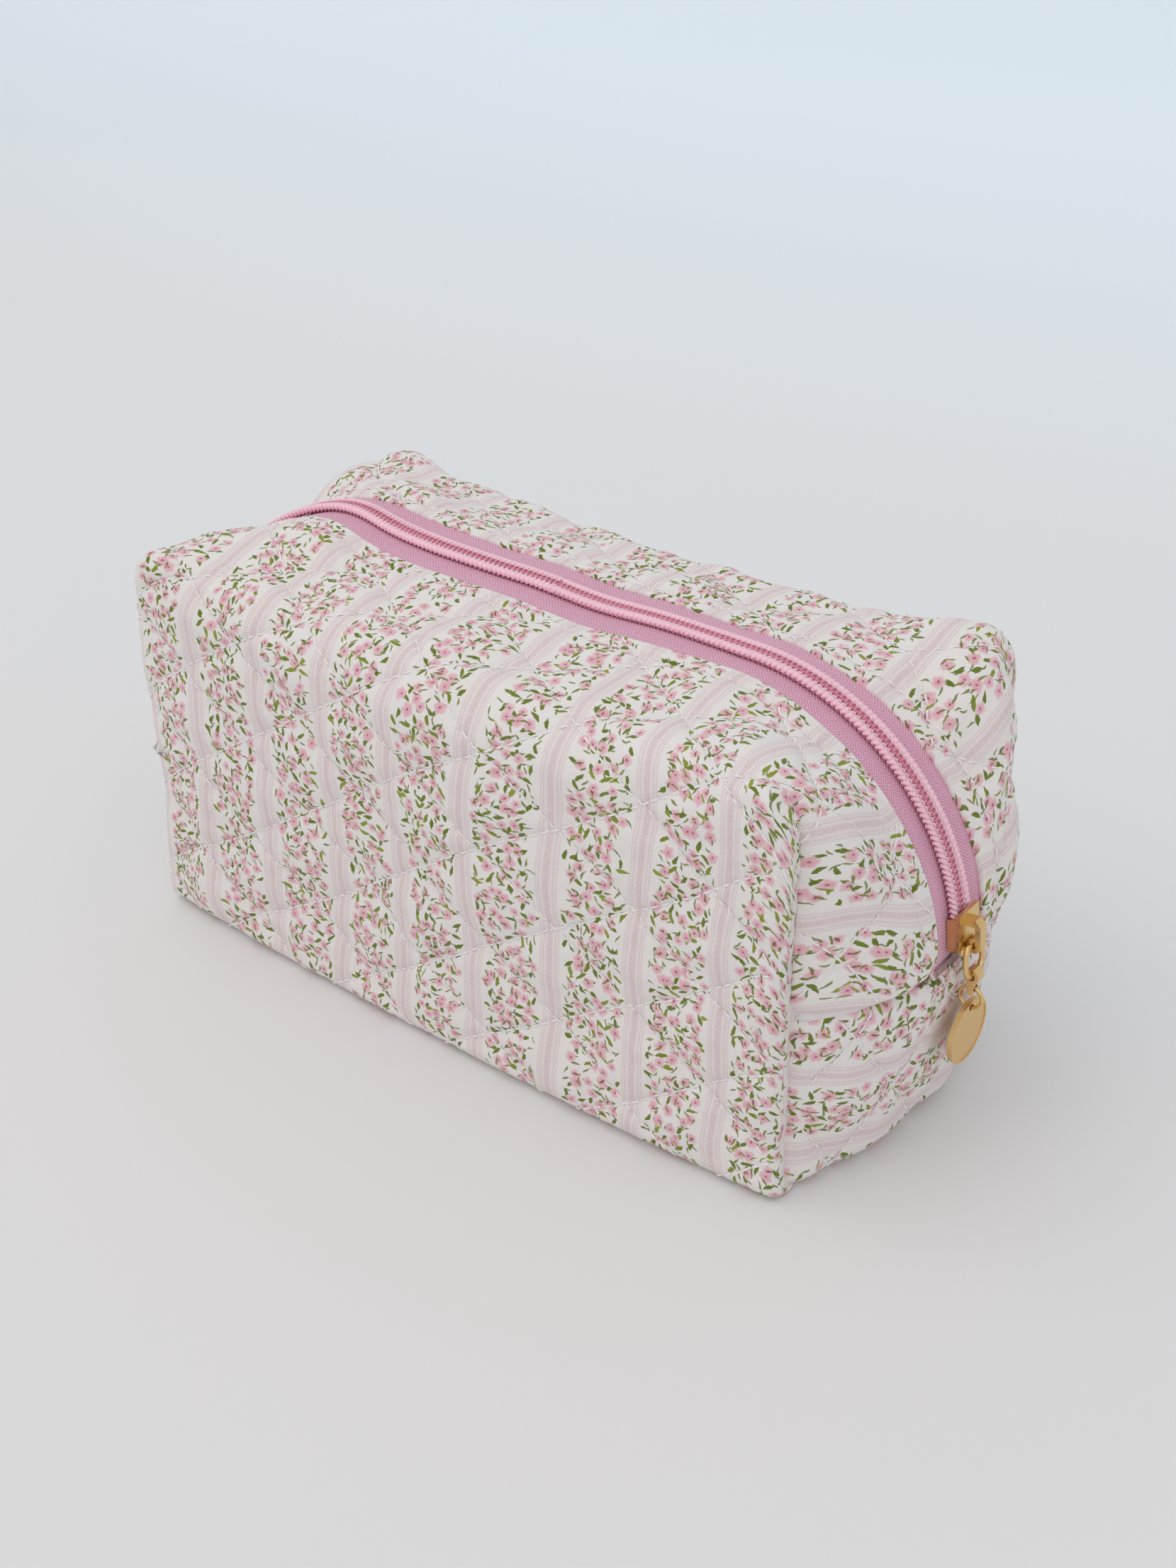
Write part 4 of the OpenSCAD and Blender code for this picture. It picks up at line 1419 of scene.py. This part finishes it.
@dataclass
class CoilZip:
    """The zip: two tapes and two rows of coil over the top and down both ends, with their threads."""

    shape: PouchShape
    pouch: Pouch
    tape: bpy.types.Material
    coil: bpy.types.Material
    ridge: bpy.types.Material
    seam: bpy.types.Material
    radius: float = 53.9
    tape_from: float = 0.9
    tape_to: float = 13.6
    tape_thick: float = 0.55
    tucked: float = 9.0
    tuck_depth: float = 1.0
    tape_rows: int = 240
    pitch: float = 1.3
    length: float = 140.5
    wire: float = 0.36
    zigzag_wire: float = 0.23
    core_size: tuple = (1.15, 0.5)
    core_points: int = 140

    def place(self, run: np.ndarray, y: np.ndarray, height: np.ndarray) -> np.ndarray:
        """Points at a distance along the zip, a distance from its middle and a height above the tape.

        The line is straight over the top, and then a quarter circle down the end.

        Args:
            run: the distance along the zip.
            y: the distance from its middle.
            height: the height above the tape.

        Returns:
            The points, in the right back quarter.
        """
        angle = np.maximum(run - self.shape.arc_x, 0) / (self.radius + 1.6)
        r = self.radius + height
        x = np.minimum(run, self.shape.arc_x) + r * np.sin(angle)
        z = self.shape.seam_z + r * np.cos(angle)
        return np.stack([x, y + 0 * x, z], axis=-1)

    def put(self, points: np.ndarray, end: End, side: Side) -> np.ndarray:
        """Points of the right back quarter, moved to their own quarter and settled."""
        return self.shape.settle(mirrored(points, end.value, side.value))

    def stagger(self, side: Side) -> float:
        """How far a side's row of loops starts along the zip: the back row half a pitch later."""
        return 0.0 if side is Side.FRONT else self.pitch / 2

    def named(self, kind: str, end: End, side: Side) -> str:
        """The name of a kind of piece in its own quarter."""
        return f"{kind}_{side.word}_{end.word}"

    def nodes(self, kind: str, end: End, side: Side) -> list:
        """The frame's nodes that a quarter stands for; the right one stands for the flap's too."""
        flap = [f"{side.word}_flap_{kind}"] if end is End.RIGHT else []
        return [f"{self.named(kind, end, side)}_end"] + flap

    def fit(
        self,
        piece: bpy.types.Object,
        material: bpy.types.Material,
        slot: str,
        nodes: list,
        end: End,
        side: Side,
    ) -> None:
        """Dresses a piece of the zip and bakes its transform into its mesh.

        Args:
            piece: the piece.
            material: its material.
            slot: its material slot in the record.
            nodes: the frame's nodes that it stands for.
            end: left or right.
            side: front or back.
        """
        self.pouch.blend_top(self.pouch.dress(piece, material, slot, nodes), end, side)

    def build_tape(self, end: End, side: Side) -> None:
        """A quarter of the tape: a thin strip of even thickness with a soft wave, tucked down at its end.

        Args:
            end: left or right.
            side: front or back.
        """
        outline = np.array([0, 0.05, 0.2, 0.36, 0.52, 0.68, 0.84, 1.0])
        y_up = self.tape_from + (self.tape_to - self.tape_from) * outline
        y = np.concatenate([y_up, y_up[::-1]])
        height = np.concatenate([np.zeros(8), np.full(8, -self.tape_thick)])
        full = np.linspace(0, self.length + self.tucked, self.tape_rows)
        run, across = np.meshgrid(full, y, indexing="ij")
        lift = height[None, :] - self.tuck_depth * smooth((run - (self.length - 1.5)) / 3.0)
        t = np.broadcast_to(np.concatenate([y_up, y_up[::-1] + 20]), run.shape)
        uv = np.stack([run * end.value, t], axis=-1)
        wave = 0.12 * ripple(uv, 15.0, 61) * smooth((across - 3) / 3)
        points = self.put(self.place(run, across, lift + wave), end, side)
        faces = grid_faces(self.tape_rows, len(y), wrap_columns=True)
        if end.value * side.value > 0:
            faces = faces[:, ::-1]
        name = self.named("zip_tape", end, side)
        piece = build_mesh(name, points.reshape(-1, 3), [faces], uv.reshape(-1, 2))
        self.fit(piece, self.tape, "zip_tape", self.nodes("tape", end, side), end, side)

    def arcs(self, run: np.ndarray, profile: np.ndarray, end: End, side: Side) -> np.ndarray:
        """Paths for many small pieces along the zip.

        Args:
            run: each piece's distance along the zip.
            profile: a path's points as shift along the zip, distance from its middle and height.
            end: left or right.
            side: front or back.

        Returns:
            Pieces by points by three.
        """
        along = run[:, None] + profile[None, :, 0]
        y = np.broadcast_to(profile[None, :, 1], along.shape)
        points = self.place(along, y, np.broadcast_to(profile[None, :, 2], along.shape))
        return self.put(points, end, side)

    def build_teeth(self, end: End, side: Side) -> None:
        """A quarter of the coil: one loop a pitch, from the leg over the top to the head past the middle.

        Args:
            end: left or right.
            side: front or back.
        """
        run = np.arange(0.4 + self.stagger(side), self.length - 2, self.pitch)
        leg = [[-0.3, 2.9, 0.35], [-0.3, 2.7, 1.25], [-0.2, 1.6, 1.5]]
        head = [[0, 0.3, 1.45], [0.0, -0.75, 1.1], [0.1, -0.5, 0.5], [0.3, 1.2, 0.4]]
        profile = np.array(leg + head)
        paths = self.arcs(run, profile, end, side)
        up = np.tile([[float(end.value), 0.0, 0.02]], (len(run), 1))
        size = np.full((len(profile), 2), self.wire)
        piece = tubes(self.named("coil", end, side), paths, size, up, 5)
        self.fit(piece, self.coil, "zip_coil", self.nodes("coil", end, side), end, side)

    def build_threads(self, end: End, side: Side) -> None:
        """A quarter of the chain stitch: a plump loop over each leg, in a paler pink that is partly the
        thread's colour and partly painted highlight, and a pale zigzag on its inner edge.

        Args:
            end: left or right.
            side: front or back.
        """
        run = np.arange(0.2 + self.stagger(side), self.length - 3, self.pitch)
        loop = np.array(
            [[-0.75, 3.0, 0.75], [-0.5, 2.75, 1.35], [0.0, 2.4, 1.6], [0.45, 2.1, 1.45], [0.7, 1.9, 1.1]]
        )
        paths = self.arcs(run, loop, end, side)
        up = np.tile([[0.35 * end.value, 0.0, 1.0]], (len(run), 1))
        size = np.array([[0.5, 0.32], [0.85, 0.44], [1.0, 0.48], [0.85, 0.44], [0.5, 0.32]])
        piece = tubes(self.named("chain_stitch", end, side), paths, size, up, 7)
        # the loops are paler pink than the coil: partly the thread's own colour, partly a painted highlight
        # along the lit ridge
        self.fit(piece, self.ridge, "zip_coil", [], end, side)
        zig = np.array([[-0.62, 1.6, 1.4], [-0.2, 1.35, 1.7], [0.25, 1.2, 1.7], [0.62, 1.45, 1.45]])
        paths = self.arcs(run, zig, end, side)
        size = np.full((len(zig), 2), self.zigzag_wire)
        piece = tubes(self.named("lock_stitch", end, side), paths, size, up, 5)
        self.fit(piece, self.seam, "thread", [], end, side)

    def build_core(self, end: End, side: Side) -> None:
        """A quarter of the cord that the coil is wound round.

        Args:
            end: left or right.
            side: front or back.
        """
        count = self.core_points
        run = np.linspace(0, self.length - 2, count)
        points = self.put(self.place(run, np.full(count, 1.35), np.full(count, 0.85)), end, side)
        size = np.tile([self.core_size], (count, 1))
        up = np.array([[0.05, 0.02, 1.0]]) * np.array([[end.value, side.value, 1.0]])
        core = tubes(self.named("coil_cord", end, side), points[None], size, up, 8)
        self.fit(core, self.coil, "zip_coil", [], end, side)

    def build(self) -> None:
        """Builds and dresses the whole zip."""
        for side in Side:
            for end in End:
                self.build_tape(end, side)
                self.build_core(end, side)
                self.build_teeth(end, side)
                self.build_threads(end, side)


@dataclass
class SliderSet:
    """The slider, its crown, the link, the bail, the ring and the charm: the frame's own solids in gold."""

    gold: bpy.types.Material
    charm: bpy.types.Material

    def build(self) -> None:
        """Dresses the frame's metal nodes."""
        for name in ("slider_body", "slider_crown", "pull_link", "pull_bail", "jump_ring", "charm_disc"):
            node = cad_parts[name]
            finish = self.charm if name == "charm_disc" else self.gold
            if not node.material_slots:
                node.data.materials.append(finish)
            for slot in node.material_slots:
                slot.material = finish
            if name in ("slider_body", "slider_crown", "pull_bail"):
                soften = node.modifiers.new("soften", "BEVEL")
                soften.width = 0.3 * MM
                soften.segments = 3
                soften.limit_method = "ANGLE"
                soften.angle_limit = math.radians(40)
            LOG.info("%s dressed", name)


@dataclass
class Studio:
    """The pale floor that sweeps up behind the pouch, the soft lights and the camera."""

    camera_at: tuple = (0.24607, -0.30347, 0.27736)
    azimuth: float = 37.93
    elevation: float = 30.36
    roll: float = 0.26
    lens: float = 43.02

    def build_floor(self) -> None:
        """A wide floor that turns up into a wall by a quarter circle, as one strip carried along X. Towards
        the back it is painted bluer and made to glow: painted light on the backdrop.
        """
        turn = np.linspace(0, math.pi / 2, 24)
        y = np.concatenate([np.linspace(-3000, 1400, 30), 1400 + 900 * np.sin(turn[1:]), np.full(6, 2300.0)])
        z = np.concatenate([np.zeros(30), 900 * (1 - np.cos(turn[1:])), np.linspace(1000, 3200, 6)])
        x = np.linspace(-3500, 3500, 24)
        angle = math.radians(-self.azimuth)
        grid_x, grid_y = np.meshgrid(x, y, indexing="ij")
        grid_z = np.broadcast_to(z, grid_x.shape)
        turned_x = grid_x * math.cos(angle) + grid_y * math.sin(angle)
        turned_y = -grid_x * math.sin(angle) + grid_y * math.cos(angle)
        points = np.stack([turned_x, turned_y, grid_z], axis=-1)
        piece = build_mesh("floor", points.reshape(-1, 3), [grid_faces(24, len(y))])
        g = Graph("floor_paper")
        # painted light: towards the back the backdrop is painted bluer and given a faint blue glow
        far = g.step(g.node("ShaderNodeSeparateXYZ", {0: g.object_place()}).outputs[1], -100, 1200)
        g.set(Base_Color=g.mix(far, (0.81, 0.805, 0.80, 1), (0.76, 0.82, 0.85, 1)), Roughness=0.9)
        g.set(Emission_Color=g.mix(far, (0.0, 0.0, 0.0, 1), (0.14, 0.165, 0.18, 1)), Emission_Strength=1.0)
        piece.data.materials.append(g.material)

    def add_lamp(self, name: str, at: tuple, aim: tuple, size: float, power: float, colour: tuple) -> None:
        """A square soft light that faces a point.

        Args:
            name: the light's name.
            at: its place in metres.
            aim: the point it faces.
            size: its width in metres.
            power: its watts.
            colour: its colour.
        """
        data = bpy.data.lights.new(name, "AREA")
        data.size = size
        data.energy = power
        data.color = colour
        lamp = bpy.data.objects.new(name, data)
        lamp.location = at
        way = Vector(aim) - Vector(at)
        lamp.rotation_euler = way.to_track_quat("-Z", "Y").to_euler()
        bpy.context.scene.collection.objects.link(lamp)

    def build_lights(self) -> None:
        """A bright pale surround, a broad key from the upper left and a weak fill from the right."""
        world = bpy.data.worlds.new("studio")
        world.use_nodes = True
        background = world.node_tree.nodes["Background"]
        background.inputs[0].default_value = (0.95, 0.955, 0.98, 1)
        background.inputs[1].default_value = 0.70
        bpy.context.scene.world = world
        self.add_lamp("key", (-0.5, -0.5, 1.3), (0, 0, 0.05), 1.3, 5.2, (1.0, 0.955, 0.92))
        self.add_lamp("fill", (0.9, -0.9, 0.8), (0, 0, 0.05), 1.0, 1.3, (1.0, 0.93, 0.88))

    def build_camera(self) -> None:
        """The camera at its fitted place, turned by azimuth, elevation and roll."""
        az, el, roll = (math.radians(v) for v in (self.azimuth, self.elevation, self.roll))
        back = np.array([math.sin(az) * math.cos(el), -math.cos(az) * math.cos(el), math.sin(el)])
        right = np.array([math.cos(az), math.sin(az), 0.0])
        up = np.cross(back, right)
        turned = right * math.cos(roll) + up * math.sin(roll)
        matrix = np.eye(4)
        matrix[:3, 0], matrix[:3, 1], matrix[:3, 2] = turned, np.cross(back, turned), back
        matrix[:3, 3] = self.camera_at
        data = bpy.data.cameras.new("camera")
        data.lens = self.lens
        data.clip_start = 0.01
        camera = bpy.data.objects.new("camera", data)
        camera.matrix_world = Matrix(matrix.tolist())
        bpy.context.scene.collection.objects.link(camera)
        bpy.context.scene.camera = camera

    def build(self) -> None:
        """Builds the whole studio."""
        self.build_floor()
        self.build_lights()
        self.build_camera()
        bpy.context.scene.view_settings.view_transform = "Standard"


def main() -> None:
    """Builds the studio, the cloth, the zip and the metal, in that order."""
    logging.basicConfig(level=logging.INFO, format="%(name)s %(message)s")
    Studio().build()
    pouch = Pouch(
        shape=PouchShape(),
        quilting=Quilting(),
        cloth=PrintCloth().material(),
        lining=PlainCloth("lining_cotton", (0.80, 0.76, 0.72, 1), (0.72, 0.68, 0.64, 1)).material(),
        binding=PlainCloth(
            "binding_tape", (0.82, 0.79, 0.78, 1), (0.74, 0.70, 0.70, 1), on_pattern=False
        ).material(),
        thread=Filament("sewing_thread", (0.94, 0.92, 0.92, 1), (0.84, 0.80, 0.80, 1)).material(),
    )
    pouch.build()
    CoilZip(
        shape=pouch.shape,
        pouch=pouch,
        tape=ZipTape().material(),
        coil=Filament("zip_coil", (0.82, 0.33, 0.44, 1), (0.70, 0.22, 0.33, 1), 0.35).material(),
        # the chain stitch's pale pink is partly the thread's own colour and partly a painted highlight on the
        # lit ridge
        ridge=Filament("chain_thread", (1.0, 0.66, 0.75, 1), (0.95, 0.55, 0.66, 1), 0.42).material(),
        seam=Filament("lock_thread", (0.92, 0.72, 0.76, 1), (0.88, 0.60, 0.66, 1), 0.4).material(),
    ).build()
    brushed = Metal("brushed_gold", rough=(0.30, 0.48), brushed=True)
    SliderSet(gold=Metal("gold").material(), charm=brushed.material()).build()


if __name__ == "__main__":
    main()
